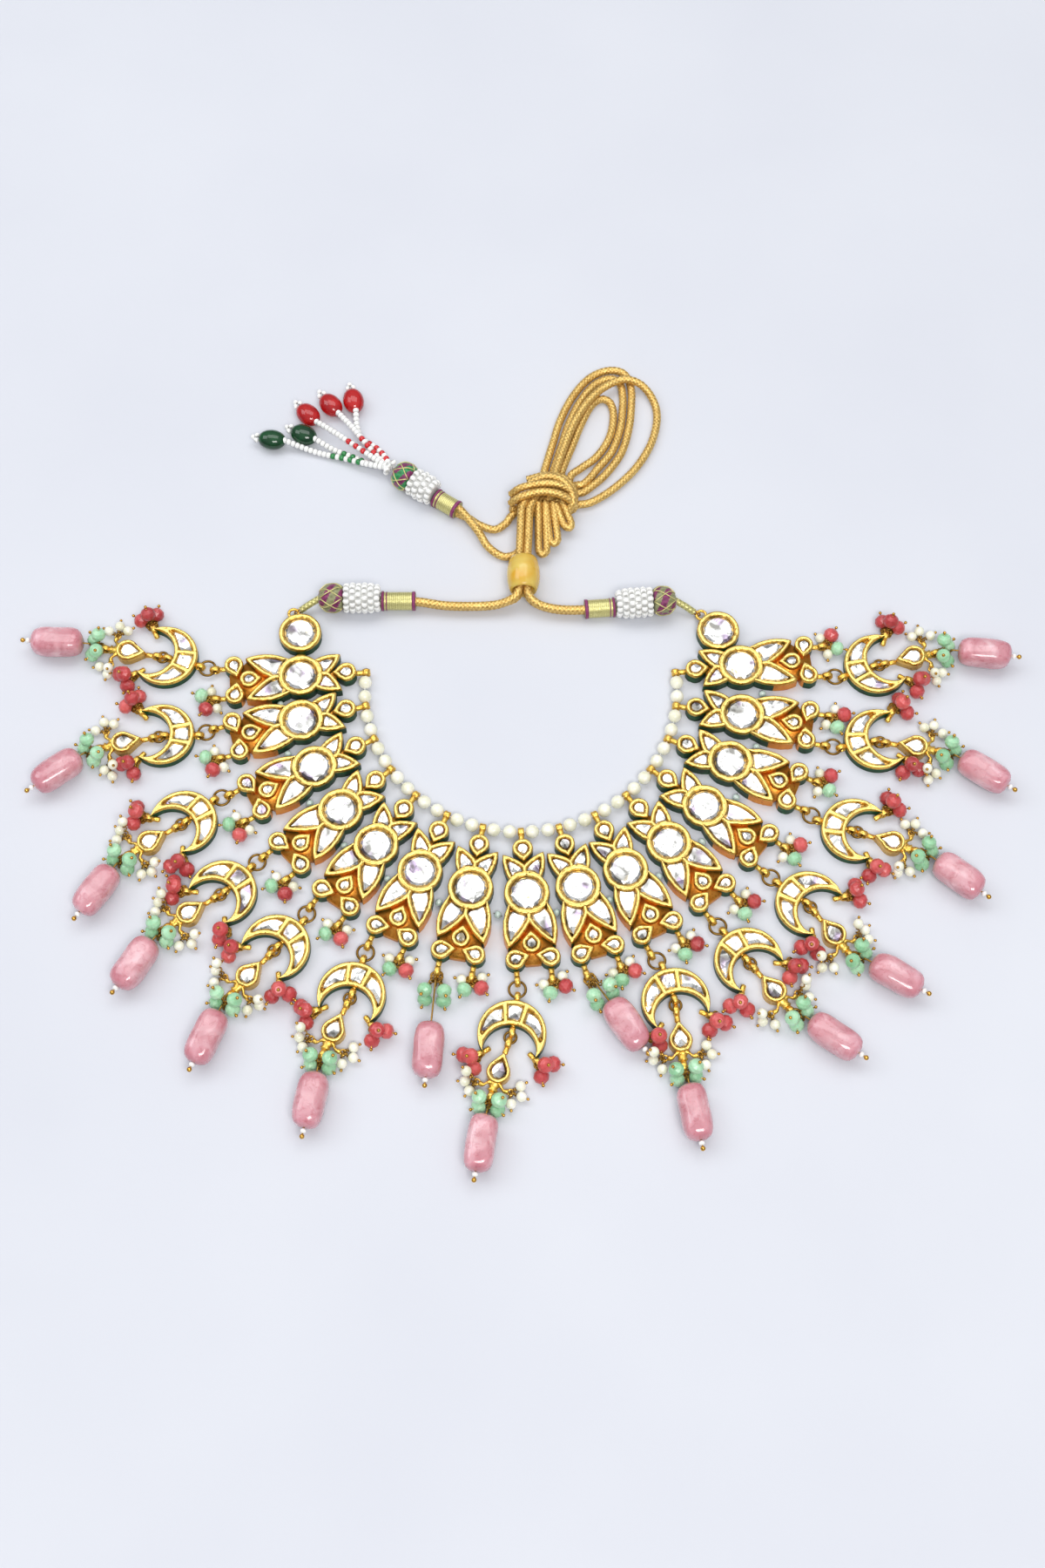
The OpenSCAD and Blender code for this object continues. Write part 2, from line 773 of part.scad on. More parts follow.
module bight(row) {
    half_w = cord_d / 2;
    run = [row[2] - row[0], row[3] - row[1]];
    stand([row[2], row[3]], atan2(run.y, run.x), cord_d / 2 + 2.4) {
        rotate([0, 0, -90])
            rotate_extrude(angle = 180)
                translate([half_w, 0])
                    circle(half_w - 0.05);
        for (side = [-1, 1])
            wire([0, side * half_w, 0], [-norm(run) - 0.5, side * half_w, 0], half_w - 0.05);
    }
}

module knot() {
    color(gold_cord) {
        translate([knot_from.x + 2, knot_from.y, 0.1])
            cube([knot_to.x - knot_from.x - 2, knot_to.y - knot_from.y, knot_h]);
        for (y = [135.6, 139.2])
            knot_wrap(y);
        for (row = bights)
            bight(row);
    }
}

module slider_bead() {
    half = slider_len / 2;
    hole = 3.9;
    color([0.93, 0.68, 0.15])
        translate(slider)
            rotate([0, 0, 90])
                lying([[-half, hole], [-half, 4.4], [-0.75 * half, 4.9], [-0.35 * half, 5.4],
                    [0, slider_d / 2], [0.35 * half, 5.4], [0.75 * half, 4.9],
                    [half, 4.4], [half, hole]]);
}

// Ends of the cord: each row is [start of the axis, direction, wrap, sleeve, bead]
// with the lengths of the thread wrap, the bead sleeve and the thread bead
ends = [
    [[-34.6, 99.1], 180, 11.6, 12.2, 8.2],
    [[21.3, 96], 4.5, 10.4, 12.2, 7.6],
    [[-21.1, 134], 146, 9.3, 9.4, 7],
];
axis_z = sleeve_d / 2 + 0.05;

module cord_wraps() {
    color([0.7, 0.66, 0.4])
        for (end = ends)
            stand(end[0], end[1], wrap_z)
                rotate([0, 90, 0])
                    difference() {
                        cylinder(h = end[2], d = wrap_d);
                        translate([0, 0, -1])
                            cylinder(h = end[2] + 2, d = wrap_d - 0.8);
                    }
}

module seed_sleeves() {
    color([0.95, 0.95, 0.93])
        for (end = ends)
            stand(end[0], end[1], axis_z)
                translate([end[2] + gap, 0, 0])
                    rotate([0, 90, 0])
                        cylinder(h = end[3], d = sleeve_d);
}

module thread_beads() {
    color([0.4, 0.1, 0.28])
        for (end = ends)
            stand(end[0], end[1], axis_z)
                translate([end[2] + end[3] + 2 * gap, 0, 0])
                    lying([[0, 0], [0, 4.4], [0.25 * end[4], 5], [0.7 * end[4], 4.6],
                        [end[4], 2.4], [end[4], 0]]);
}

// Thread from a thread bead to a ring round the flat eye of an end setting
module end_thread(end, place, eye_angle) {
    eye = place + end_eye_x * unit(eye_angle);
    bead = end[0] + (end[2] + end[3] + end[4] + 4 * gap) * unit(end[1]);
    along = atan2(bead.y - eye.y, bead.x - eye.x);
    reach = norm(bead - eye);
    stand(eye, along) {
        translate([end_eye_r, 0, end_eye_z])
            rotate([90, 0, 0])
                ring(pin_eye_r, pin_r);
        wire([end_eye_r + pin_eye_r, 0, end_eye_z], [reach - 0.8, 0, axis_z - 0.8], 0.9);
    }
}

module end_threads() {
    color([0.62, 0.6, 0.35]) {
        end_thread(ends[0], left_end, left_eye_angle);
        end_thread(ends[1], right_end, right_eye_angle);
    }
}

// Tassel: five strings from a small head, each to an oval glass drop
tassel_head = [-44.8, 150, 4.6];
string_d = 2.2;
// One row for each string: the middle of its drop, the drop's direction, and its bends
tassel_rows = [
    // x, y, direction, bends
    [-57.9, 178.3, 103, [[-45.8, 154.4, 3.4], [-49.4, 159.6, 2], [-54.8, 164, 1.6], [-56.5, 169, 2.2]]],
    [-65.7, 176.5, 128, [[-48, 154.6, 2.6], [-53.2, 160.2, 4.4], [-57.8, 166.6, 4.2]]],
    [-73.4, 172.6, 133, [[-49.6, 153.6, 4.6], [-56.2, 158.6, 4.6], [-63.6, 164.4, 4.2]]],
    [-74.6, 164.4, 153, [[-51.6, 153.6, 1.6], [-57.4, 156.2, 1.6], [-64.2, 159, 2]]],
    [-85.4, 162.4, 171, [[-52, 152, 3.8], [-60.4, 155.4, 2], [-70.2, 158.2, 1.6]]],
];

module oval_drop() {
    half = oval_len / 2;
    r = oval_d / 2;
    lying([[-half, 0], [-half, 1], [-0.84 * half, 0.6 * r], [-0.44 * half, 0.9 * r], [0, r],
        [0.44 * half, 0.9 * r], [0.84 * half, 0.6 * r], [half, 1], [half, 0]], $fn = 12);
}

module tassel() {
    color([0.9, 0.85, 0.85]) {
        translate(tassel_head)
            sphere(2.4, $fn = 12);
        for (row = tassel_rows) {
            neck_point = at([row[0], row[1]], row[2], 0.6 - oval_len / 2, 0);
            tube(concat([tassel_head], row[3], [[neck_point.x, neck_point.y, oval_d / 2]]), string_d / 2);
            stand([row[0], row[1]], row[2], oval_d / 2 + 0.05)
                oval_drop();
        }
    }
}

lotus_setting(1);  // lotus_setting_01
lotus_setting(2);  // lotus_setting_02
lotus_setting(3);  // lotus_setting_03
lotus_setting(4);  // lotus_setting_04
lotus_setting(5);  // lotus_setting_05
lotus_setting(6);  // lotus_setting_06
lotus_setting(7);  // lotus_setting_07
lotus_setting(8);  // lotus_setting_08
lotus_setting(9);  // lotus_setting_09
lotus_setting(10);  // lotus_setting_10
lotus_setting(11);  // lotus_setting_11
lotus_setting(12);  // lotus_setting_12
lotus_setting(13);  // lotus_setting_13
lotus_setting(14);  // lotus_setting_14
lotus_setting(15);  // lotus_setting_15
crescent(1);  // crescent_01
crescent(2);  // crescent_02
crescent(3);  // crescent_03
crescent(4);  // crescent_04
crescent(5);  // crescent_05
crescent(6);  // crescent_06
crescent(8);  // crescent_08
crescent(10);  // crescent_10
crescent(11);  // crescent_11
crescent(12);  // crescent_12
crescent(13);  // crescent_13
crescent(14);  // crescent_14
crescent(15);  // crescent_15
drop_settings();
centre_stones();
petal_stones();
string_pearls();
pearl_thread();
jump_rings();
coral_bunches();
mint_bunches();
leaf_bunches();
pink_beads_left();
pink_beads_right();
pink_pins();
cord_left_a();
cord_left_b();
cord_right_a();
cord_right_b();
loop_a();
loop_b();
loop_c();
loop_d();
tail_a();
tail_b();
knot();
slider_bead();
cord_wraps();
seed_sleeves();
thread_beads();
end_threads();
tassel();
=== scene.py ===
"""Looks of a kundan necklace that lies flat on a pale surface.

Lengths in the tables are millimetres in the part's own frame; objects are made in metres.
"""
import math
import random

import bpy
import numpy as np
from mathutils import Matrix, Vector, noise


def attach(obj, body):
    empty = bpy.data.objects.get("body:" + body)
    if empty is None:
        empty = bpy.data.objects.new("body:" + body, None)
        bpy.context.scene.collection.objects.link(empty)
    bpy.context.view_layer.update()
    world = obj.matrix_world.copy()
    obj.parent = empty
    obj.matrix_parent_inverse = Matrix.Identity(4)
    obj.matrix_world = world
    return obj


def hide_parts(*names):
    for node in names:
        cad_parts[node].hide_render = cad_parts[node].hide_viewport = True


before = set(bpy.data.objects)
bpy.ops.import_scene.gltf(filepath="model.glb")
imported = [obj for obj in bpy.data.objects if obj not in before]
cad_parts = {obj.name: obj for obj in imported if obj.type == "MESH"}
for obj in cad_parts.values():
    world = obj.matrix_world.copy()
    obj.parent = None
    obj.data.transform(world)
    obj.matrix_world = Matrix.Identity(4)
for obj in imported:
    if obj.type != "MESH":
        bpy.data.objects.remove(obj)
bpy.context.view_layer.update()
MM = 0.001

# Camera: 24 degrees off vertical, from the side of the pendants

scene = bpy.context.scene
scene.view_settings.view_transform = "Standard"
camera_data = bpy.data.cameras.new("photo_camera")
camera_data.lens = 50
camera_data.sensor_fit = "VERTICAL"
camera_data.sensor_width = 36
camera_data.sensor_height = 36
camera = bpy.data.objects.new("photo_camera", camera_data)
camera.location = (0.0008, -0.2507, 0.6395)
camera.rotation_euler = (math.radians(24), 0, 0)
scene.collection.objects.link(camera)
scene.camera = camera


# Shapes, in millimetres. A shape is (points, faces, tones); a tone is 0 in recesses
# and 1 on crests, and materials read it, most of them to paint shade low and light high; bunch beads get
# random tones instead, for colour that differs from bead to bead.


def shape(points, faces, tones=0.5):
    points = np.asarray(points, float)
    return points, faces, np.broadcast_to(np.asarray(tones, float), len(points))


def unit(angle):
    return np.array((math.cos(math.radians(angle)), math.sin(math.radians(angle))))


def level(angle):
    """The same direction in space."""
    return (*unit(angle), 0)


def at(origin, angle, x, y=0.0):
    return np.asarray(origin, float) + x * unit(angle) + y * unit(angle + 90)


def spot(origin, angle, x, y, z):
    return (*at(origin, angle, x, y), z)


def normalised(v):
    v = np.asarray(v, float)
    return v / np.linalg.norm(v, axis=-1, keepdims=True)


def moved(part, origin, along=(1, 0, 0), up=(0, 0, 1)):
    """The shape with its x axis turned to along, and then moved to origin."""
    x = normalised(along)
    y = normalised(np.cross(up, x))
    turn = np.array((x, y, np.cross(x, y)))
    return shape(part[0] @ turn + np.asarray(origin, float), part[1], part[2])


def scaled(part, factors):
    return shape(part[0] * np.asarray(factors, float), part[1], part[2])


def mirrored(part):
    return shape(part[0] * (1, -1, 1), [face[::-1] for face in part[1]], part[2])


def joined(one, two):
    start = len(one[0])
    faces = one[1] + [tuple(i + start for i in face) for face in two[1]]
    return shape(np.concatenate((one[0], two[0])), faces, np.concatenate((one[2], two[2])))


def grid(rows, columns, closed=False):
    """Faces between rows of points that go round in columns; closed joins the last row to the first."""
    faces = []
    for i in range(rows if closed else rows - 1):
        a, b = i * columns, (i + 1) % rows * columns
        for j in range(columns):
            k = (j + 1) % columns
            faces.append((a + j, b + j, b + k, a + k))
    return faces


def capped(rows, columns):
    last = (rows - 1) * columns
    return grid(rows, columns) + [tuple(range(columns)), tuple(range(last + columns - 1, last - 1, -1))]


def lathe(profile, sides=24, tones=0.5):
    """A closed solid of revolution about x, from its lengths and radii."""
    turns = [2 * math.pi * k / sides for k in range(sides)]
    rows = [(x, r * math.cos(turn), r * math.sin(turn)) for x, r in profile for turn in turns]
    if not np.isscalar(tones):
        tones = np.repeat(tones, sides)
    return shape(rows, [face[::-1] for face in capped(len(profile), sides)], tones)


def ball(r, sides=16, rows=10, length=1.0):
    """A sphere whose poles lie on x, with small flat ends."""
    turns = np.linspace(0.06, math.pi - 0.06, rows)
    return lathe([(-r * length * math.cos(t), r * math.sin(t)) for t in turns], sides)


def faceted_bead(r, length, sides=12):
    """A bead cut into staggered rows of triangles, with its bore along x."""
    rows = [(-0.84, 0.42), (-0.52, 0.84), (0, 1), (0.52, 0.84), (0.84, 0.42)]
    points, faces = [], []
    for i, (x, radius) in enumerate(rows):
        for k in range(sides):
            turn = 2 * math.pi * (k + 0.5 * (i % 2)) / sides
            points.append((x * length, r * radius * math.cos(turn), r * radius * math.sin(turn)))
    for i in range(len(rows) - 1):
        a, b = i * sides, (i + 1) * sides
        for k in range(sides):
            n = (k + 1) % sides
            if i % 2:
                faces += [(a + k, b + n, b + k), (a + k, a + n, b + n)]
            else:
                faces += [(a + k, a + n, b + k), (a + n, b + n, b + k)]
    faces.append(tuple(range(sides - 1, -1, -1)))
    faces.append(tuple(range((len(rows) - 1) * sides, len(rows) * sides)))
    return shape(points, faces)


def frames_of(path, closed=False):
    """Two unit vectors across a path at each of its points, which turn as little as they can."""
    ahead, behind = np.roll(path, -1, 0), np.roll(path, 1, 0)
    if not closed:
        ahead[-1], behind[0] = path[-1], path[0]
    along = normalised(ahead - behind)
    start = (0, 0, 1) if abs(along[0][2]) < 0.9 else (1, 0, 0)
    side = np.cross(start, along[0])
    sides = []
    for t in along:
        side = normalised(side - side @ t * t)
        sides.append(side)
    return np.array(sides), np.cross(along, sides)


def tube(path, radius, sides=8, closed=False, tones=0.5):
    """A tube along a path. The radius is a number, one for each point, or points by sides."""
    path = np.asarray(path, float)
    radius = np.asarray(radius, float)
    if radius.ndim < 2:
        radius = np.broadcast_to(radius.reshape(-1, 1), (len(path), sides))
    across, up = frames_of(path, closed)
    turns = 2 * math.pi * np.arange(sides)[:, None] / sides
    ring = across[:, None] * np.cos(turns) + up[:, None] * np.sin(turns)
    points = (path[:, None] + ring * radius[..., None]).reshape(-1, 3)
    faces = grid(len(path), sides, True) if closed else capped(len(path), sides)
    return shape(points, [face[::-1] for face in faces], tones)


def loop(r, wire, sides=6, points=24, stretch=1.0, width=1.0):
    """A closed ring in the xy plane; width flattens its wire upright."""
    turns = 2 * math.pi * np.arange(points) / points
    path = np.stack((r * stretch * np.cos(turns), r * np.sin(turns), 0 * turns), 1)
    return scaled(tube(path, wire, sides, closed=True), (1, 1, width))


def reach_along(points):
    return np.concatenate(([0], np.cumsum(np.linalg.norm(np.diff(points, axis=0), axis=1))))


def smooth(route, step):
    """Points at even steps on a smooth curve through the route's points."""
    route = np.asarray(route, float)
    padded = np.concatenate(([2 * route[0] - route[1]], route, [2 * route[-1] - route[-2]]))
    points = []
    for a, b, c, d in zip(padded, padded[1:], padded[2:], padded[3:]):
        slope, bend, twist = c - a, 2 * a - 5 * b + 4 * c - d, 3 * b - a - 3 * c + d
        for t in np.linspace(0, 1, 24, endpoint=False):
            points.append(0.5 * (2 * b + slope * t + bend * t**2 + twist * t**3))
    points = np.array(points + [route[-1]])
    reach = reach_along(points)
    even_steps = np.linspace(0, reach[-1], max(3, round(reach[-1] / step) + 1))
    return np.stack([np.interp(even_steps, reach, points[:, k]) for k in range(3)], 1)


def lumpy(part, amount, size, seed):
    """The shape with its points pushed about by smooth noise, which Blender starts anew at each run."""
    shift = Vector((seed * 7.3, seed * 3.1, seed * 5.7))
    push = [noise.noise_vector(Vector(p) / size + shift) for p in part[0]]
    return shape(part[0] + amount * np.array(push), part[1], part[2])


# Materials. Every one is made of nodes, with its colour from noise and the tone of the mesh.

WHITE = (255, 255, 255)


def linear(colour):
    return [((c / 255 + 0.055) / 1.055) ** 2.4 if c > 10 else c / 255 / 12.92 for c in colour]


class Look:
    """A material under construction, with helpers for its nodes."""

    def __init__(self, name, **sockets):
        self.material = bpy.data.materials.new(name)
        self.material.use_nodes = True
        self.tree = self.material.node_tree
        self.shader = self.tree.nodes["Principled BSDF"]
        for socket, value in sockets.items():
            self.shader.inputs[socket.replace("_", " ")].default_value = value

    def feed(self, value, socket):
        if isinstance(value, bpy.types.NodeSocket):
            self.tree.links.new(value, socket)
        else:
            socket.default_value = value

    def node(self, kind, **inputs):
        made = self.tree.nodes.new("ShaderNode" + kind)
        for socket, value in inputs.items():
            self.feed(value, made.inputs[socket.replace("_", " ")])
        return made

    def place(self):
        return self.node("TexCoord").outputs["Object"]

    def noise(self, size, detail=3.0, distortion=0.0):
        """Noise whose features are about size millimetres."""
        inputs = {"Vector": self.place(), "Scale": 1000 / size, "Detail": detail, "Distortion": distortion}
        return self.node("TexNoise", **inputs).outputs["Fac"]

    def ramp(self, value, *stops):
        """Colours, each (position, colour in 0 to 255), along a value."""
        made = self.node("ValToRGB", Fac=value)
        elements = made.color_ramp.elements
        while len(elements) < len(stops):
            elements.new(0.5)
        for element, (position, colour) in zip(elements, stops):
            element.position = position
            element.color = (*linear(colour), 1)
        return made.outputs["Color"]

    def toned(self, *stops):
        """Colours along the tone of the mesh."""
        made = self.node("Attribute")
        made.attribute_name = "tone"
        return self.ramp(made.outputs["Fac"], *stops)

    def blend(self, factor, a, b, kind="MIX"):
        made = self.node("Mix")
        made.data_type = "RGBA"
        made.blend_type = kind
        for value, socket in ((factor, 0), (a, 6), (b, 7)):
            self.feed(value, made.inputs[socket])
        return made.outputs[2]

    def times(self, factor, a, b):
        return self.blend(factor, a, b, "MULTIPLY")

    def bump(self, height, depth):
        """Relief of depth millimetres from a height."""
        made = self.node("Bump", Height=height, Strength=1.0, Distance=depth * MM)
        self.tree.links.new(made.outputs["Normal"], self.shader.inputs["Normal"])

    def rough(self, value, low, high):
        made = self.node("MapRange", Value=value, To_Min=low, To_Max=high)
        self.tree.links.new(made.outputs[0], self.shader.inputs["Roughness"])

    def colour(self, value):
        self.feed(value, self.shader.inputs["Base Color"])
        return self.material


def gold_look(name, recess_shade, body, crest_highlight_and_patch, roughness, pits):
    """Uneven gilding in random patches, with painted shade in its recesses and pits and a painted highlight
    on its crests.
    """
    look = Look(name, Metallic=0.92)
    patches = look.noise(1.8, 4)
    pitted = look.noise(0.55, 4)
    # Painted shade and highlight: the recess colour where the tone is low, the crest colour where it is high.
    shade = look.toned((0.0, recess_shade), (0.45, body), (1.0, crest_highlight_and_patch))
    worn = look.ramp(patches, (0.38, body), (0.62, crest_highlight_and_patch))
    # Painted shade in the pits, in the recess colour.
    pit_shade = look.ramp(pitted, (0.33, recess_shade), (0.4, WHITE))
    relief = look.node("Math")
    relief.operation = "MULTIPLY_ADD"
    for value, socket in zip((pitted, 0.4, patches), relief.inputs):
        look.feed(value, socket)
    look.rough(patches, *roughness)
    look.bump(relief.outputs[0], pits)
    return look.colour(look.times(0.85, look.blend(0.3, shade, worn), pit_shade))


def enamel_look():
    look = Look("green_enamel", Roughness=0.4, Specular_IOR_Level=0.12)
    flow = look.noise(1.6, 4)
    look.bump(flow, 0.08)
    return look.colour(look.ramp(flow, (0.3, (2, 48, 20)), (0.62, (6, 86, 38)), (0.8, (18, 120, 58))))


def stone_look():
    """Clear cut glass over silver foil; the foil's grey patches, the dark streaks and the faint violet and
    yellow glints are painted reflections, and the girdle is darker with painted shade.
    """
    look = Look("foiled_glass", Metallic=0.82, Roughness=0.09, Coat_Weight=1.0, Coat_Roughness=0.03)
    # The foil's grey patches, the dark streaks and the violet and yellow glints are painted reflections.
    foil_reflection_stops = ((0.3, (106, 104, 98)), (0.44, (196, 196, 194)), (0.6, (234, 234, 230)))
    foil_reflection = look.ramp(look.noise(5.2, 1, 0.8), *foil_reflection_stops)
    reflected_streaks = look.ramp(look.noise(2.3, 1, 2.5), (0.3, (84, 78, 66)), (0.42, WHITE))
    glint_stops = ((0.3, (190, 160, 206)), (0.4, WHITE), (0.64, WHITE), (0.72, (240, 216, 160)))
    painted_glints = look.ramp(look.noise(5.3, 1), *glint_stops)
    # Painted shade round the girdle, where the stone meets its rim.
    edge = look.toned((0.0, (170, 160, 138)), (0.4, WHITE))
    look.bump(look.noise(3.0, 1), 0.06)
    cut = look.times(0.8, look.times(0.7, foil_reflection, reflected_streaks), painted_glints)
    return look.colour(look.times(1.0, cut, edge))


def pearl_look():
    look = Look(
        "pearl", Roughness=0.22, Coat_Weight=0.5, Coat_Roughness=0.12,
        Subsurface_Weight=0.25, Subsurface_Radius=(1.0, 0.9, 0.7), Subsurface_Scale=0.001,
    )
    shades = ((0.3, (226, 224, 196)), (0.55, (244, 242, 224)), (0.75, (252, 250, 242)))
    cream = look.ramp(look.noise(3.4), *shades)
    look.bump(look.noise(0.9), 0.02)
    return look.colour(look.times(0.3, cream, look.toned((0, (196, 190, 150)), (0.6, (255, 255, 250)))))


def jade(name, dark, body, light, rough):
    """Cloudy bead glass, a little different from bead to bead."""
    look = Look(
        name, Subsurface_Weight=0.3, Subsurface_Radius=(1.0, 0.6, 0.5), Subsurface_Scale=0.0008,
        Coat_Weight=0.25, Coat_Roughness=0.2,
    )
    cloud = look.ramp(look.noise(2.4, 3, 0.6), (0.28, dark), (0.5, body), (0.75, light))
    tint = look.toned((0.0, dark), (0.5, body), (1.0, light))
    look.rough(look.noise(1.1), *rough)
    look.bump(look.noise(0.5), 0.015)
    return look.colour(look.blend(0.5, cloud, tint))


def pink_look():
    """Veined quartz, paler towards both ends."""
    look = Look(
        "pink_quartz", Roughness=0.16, Coat_Weight=0.6, Coat_Roughness=0.06,
        Subsurface_Weight=0.45, Subsurface_Radius=(1.0, 0.45, 0.5), Subsurface_Scale=0.002,
    )
    shades = ((0.3, (198, 136, 144)), (0.5, (211, 157, 163)), (0.72, (228, 190, 195)))
    cloud = look.ramp(look.noise(6.5, 4, 0.8), *shades)
    veins = look.ramp(look.noise(1.9, 4, 1.2), (0.34, (222, 168, 178)), (0.46, WHITE))
    look.bump(look.noise(4.0), 0.12)
    tint = look.toned((0.0, (246, 214, 220)), (0.5, WHITE), (1.0, (244, 214, 224)))
    return look.colour(look.times(0.8, look.times(0.4, cloud, veins), tint))


def braid_look():
    """Metallic yarn, with painted shade between its threads, a painted highlight on their tops, and specks
    painted paler and darker for sparkle.
    """
    look = Look("metallic_braid", Metallic=0.7)
    cells = look.node("TexVoronoi", Vector=look.place(), Scale=1000 / 0.42).outputs["Color"]
    specks = look.ramp(cells, (0.0, (160, 118, 52)), (0.5, (204, 162, 84)), (0.86, (255, 230, 146)))
    # Painted shade between the threads and a painted highlight on their tops, from the tone.
    relief_shade_and_light = look.toned((0.0, (82, 54, 16)), (0.4, (200, 154, 76)), (0.85, (250, 216, 134)))
    look.rough(look.noise(0.3), 0.26, 0.6)
    look.bump(look.noise(0.22, 2), 0.06)
    return look.colour(look.blend(0.45, relief_shade_and_light, specks))


def gold_thread_look():
    look = Look("wound_gold_thread", Metallic=0.6)
    # Painted shade between the turns of thread and a painted highlight on their ridges, from the tone.
    relief_shade_and_light = look.toned((0.0, (92, 84, 36)), (0.5, (182, 174, 100)), (1.0, (232, 226, 160)))
    strands = look.ramp(look.noise(0.35), (0.3, (160, 150, 80)), (0.7, (240, 234, 172)))
    look.rough(look.noise(0.5), 0.26, 0.5)
    look.bump(look.noise(0.25, 2), 0.04)
    return look.colour(look.blend(0.4, relief_shade_and_light, strands))


def silk(name, dark, body, light):
    look = Look(name, Roughness=0.5, Sheen_Weight=0.25, Sheen_Roughness=0.4)
    # Painted shade at the edges of bands and in grooves, and a painted highlight on their crests, from the
    # tone.
    relief_shade_and_light = look.toned((0.0, dark), (0.6, body), (1.0, light))
    flock = look.ramp(look.noise(0.4), (0.3, dark), (0.7, light))
    look.bump(look.noise(0.3, 2), 0.05)
    return look.colour(look.blend(0.3, relief_shade_and_light, flock))


def seed_look(name, dark, body, light, clear=0.0):
    look = Look(name, Roughness=0.14, Coat_Weight=0.5, Coat_Roughness=0.05, Transmission_Weight=clear)
    cloud = look.ramp(look.noise(1.1), (0.3, body), (0.7, light))
    # Painted shade at the bore ends of each seed, where it meets the next, from the tone.
    return look.colour(look.times(0.6, cloud, look.toned((0.0, dark), (0.5, light))))


def glass(name, dark, body, light, clear, rough=0.05):
    look = Look(
        name, Roughness=rough, Coat_Weight=0.4, Coat_Roughness=0.03, Transmission_Weight=clear, IOR=1.45
    )
    cloud = look.ramp(look.noise(5, 2, 0.5), (0.3, body), (0.7, light))
    return look.colour(look.times(0.8, cloud, look.toned((0.0, dark), (0.6, WHITE))))


def floor_look():
    look = Look("pale_floor", Roughness=0.85)
    sheet = look.ramp(look.noise(120, 3), (0.3, (206, 208, 215)), (0.7, (211, 213, 219)))
    look.bump(look.noise(2.5, 4), 0.03)
    return look.colour(sheet)


LOOKS = {
    "gold": gold_look("gold", (124, 66, 16), (238, 188, 80), (252, 224, 134), (0.24, 0.44), 0.16),
    # A darker, more orange copy of the gold for the walls in the notch and the low plates: painted shade.
    "shaded_recess_gold": gold_look("shaded_recess_gold", (188, 96, 26), (224, 142, 52), (246, 194, 94), (0.3, 0.5), 0.1),
    "wire": gold_look("brass_wire", (96, 66, 22), (150, 112, 46), (196, 156, 80), (0.25, 0.45), 0.02),
    "pin": gold_look("pin_gold", (150, 100, 34), (196, 148, 60), (232, 190, 104), (0.16, 0.3), 0.02),
    "enamel": enamel_look(),
    "stone": stone_look(),
    "pearl": pearl_look(),
    "coral": jade("coral_glass", (150, 44, 46), (200, 74, 76), (226, 112, 108), (0.24, 0.42)),
    "mint": jade("mint_glass", (128, 186, 138), (162, 212, 170), (192, 232, 196), (0.2, 0.36)),
    "pink": pink_look(),
    "braid": braid_look(),
    "gold_thread": gold_thread_look(),
    "purple": silk("purple_thread", (40, 6, 30), (104, 24, 74), (150, 54, 110)),
    "olive": silk("olive_thread", (60, 58, 34), (124, 124, 84), (160, 160, 116)),
    "green_thread": silk("green_thread", (6, 54, 24), (24, 120, 60), (60, 160, 96)),
    "seed_white": seed_look("seed_white", (150, 148, 142), (238, 238, 235), (252, 252, 250)),
    "seed_red": seed_look("seed_red", (140, 8, 18), (200, 20, 36), (232, 60, 66)),
    "seed_green": seed_look("seed_green", (4, 66, 30), (14, 128, 64), (60, 176, 104)),
    "pale_glass": seed_look("pale_glass", (150, 176, 168), (206, 224, 216), (240, 250, 246), 0.3),
    "red_glass": glass("red_glass", (150, 20, 24), (172, 10, 18), (220, 36, 34), 0.35),
    "green_glass": glass("green_glass", (20, 70, 36), (4, 50, 22), (14, 92, 44), 0.35),
    "amber": glass("amber_glass", (250, 200, 90), (250, 196, 60), (255, 230, 120), 0.4, 0.1),
    "floor": floor_look(),
}
FACETED = {"stone", "coral", "mint"}


class Piece:
    """Shapes that become one object, each with its material."""

    def __init__(self, name):
        self.name = name
        self.points, self.tones, self.faces, self.slots, self.smooths = [], [], [], [], []
        self.looks = []
        self.start = 0
        self.place, self.angle = (0, 0), 0

    def go(self, place, angle):
        """From here on, put works round this place of the plane and this direction."""
        self.place, self.angle = place, angle
        return self

    def add(self, part, look, tone=None):
        points, faces, tones = part
        if look not in self.looks:
            self.looks.append(look)
        self.points.append(points)
        self.tones.append(tones if tone is None else np.full(len(points), tone))
        self.faces += [tuple(i + self.start for i in face) for face in faces]
        self.slots += [self.looks.index(look)] * len(faces)
        self.smooths += [look not in FACETED] * len(faces)
        self.start += len(points)
        return self

    def put(self, part, look, z=0.0):
        return self.add(moved(part, (*self.place, z), level(self.angle)), look)

    def build(self, slot, *nodes):
        mesh = bpy.data.meshes.new(self.name)
        mesh.from_pydata(np.concatenate(self.points) * MM, [], self.faces)
        mesh.polygons.foreach_set("material_index", self.slots)
        mesh.polygons.foreach_set("use_smooth", self.smooths)
        tone = mesh.attributes.new("tone", "FLOAT", "POINT")
        tone.data.foreach_set("value", np.concatenate(self.tones).astype(np.float32))
        for look in self.looks:
            mesh.materials.append(LOOKS[look])
        made = bpy.data.objects.new(self.name, mesh)
        scene.collection.objects.link(made)
        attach(made, "root")
        if nodes:
            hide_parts(*nodes)
        return made


# Places, from the same named values as the part's own source

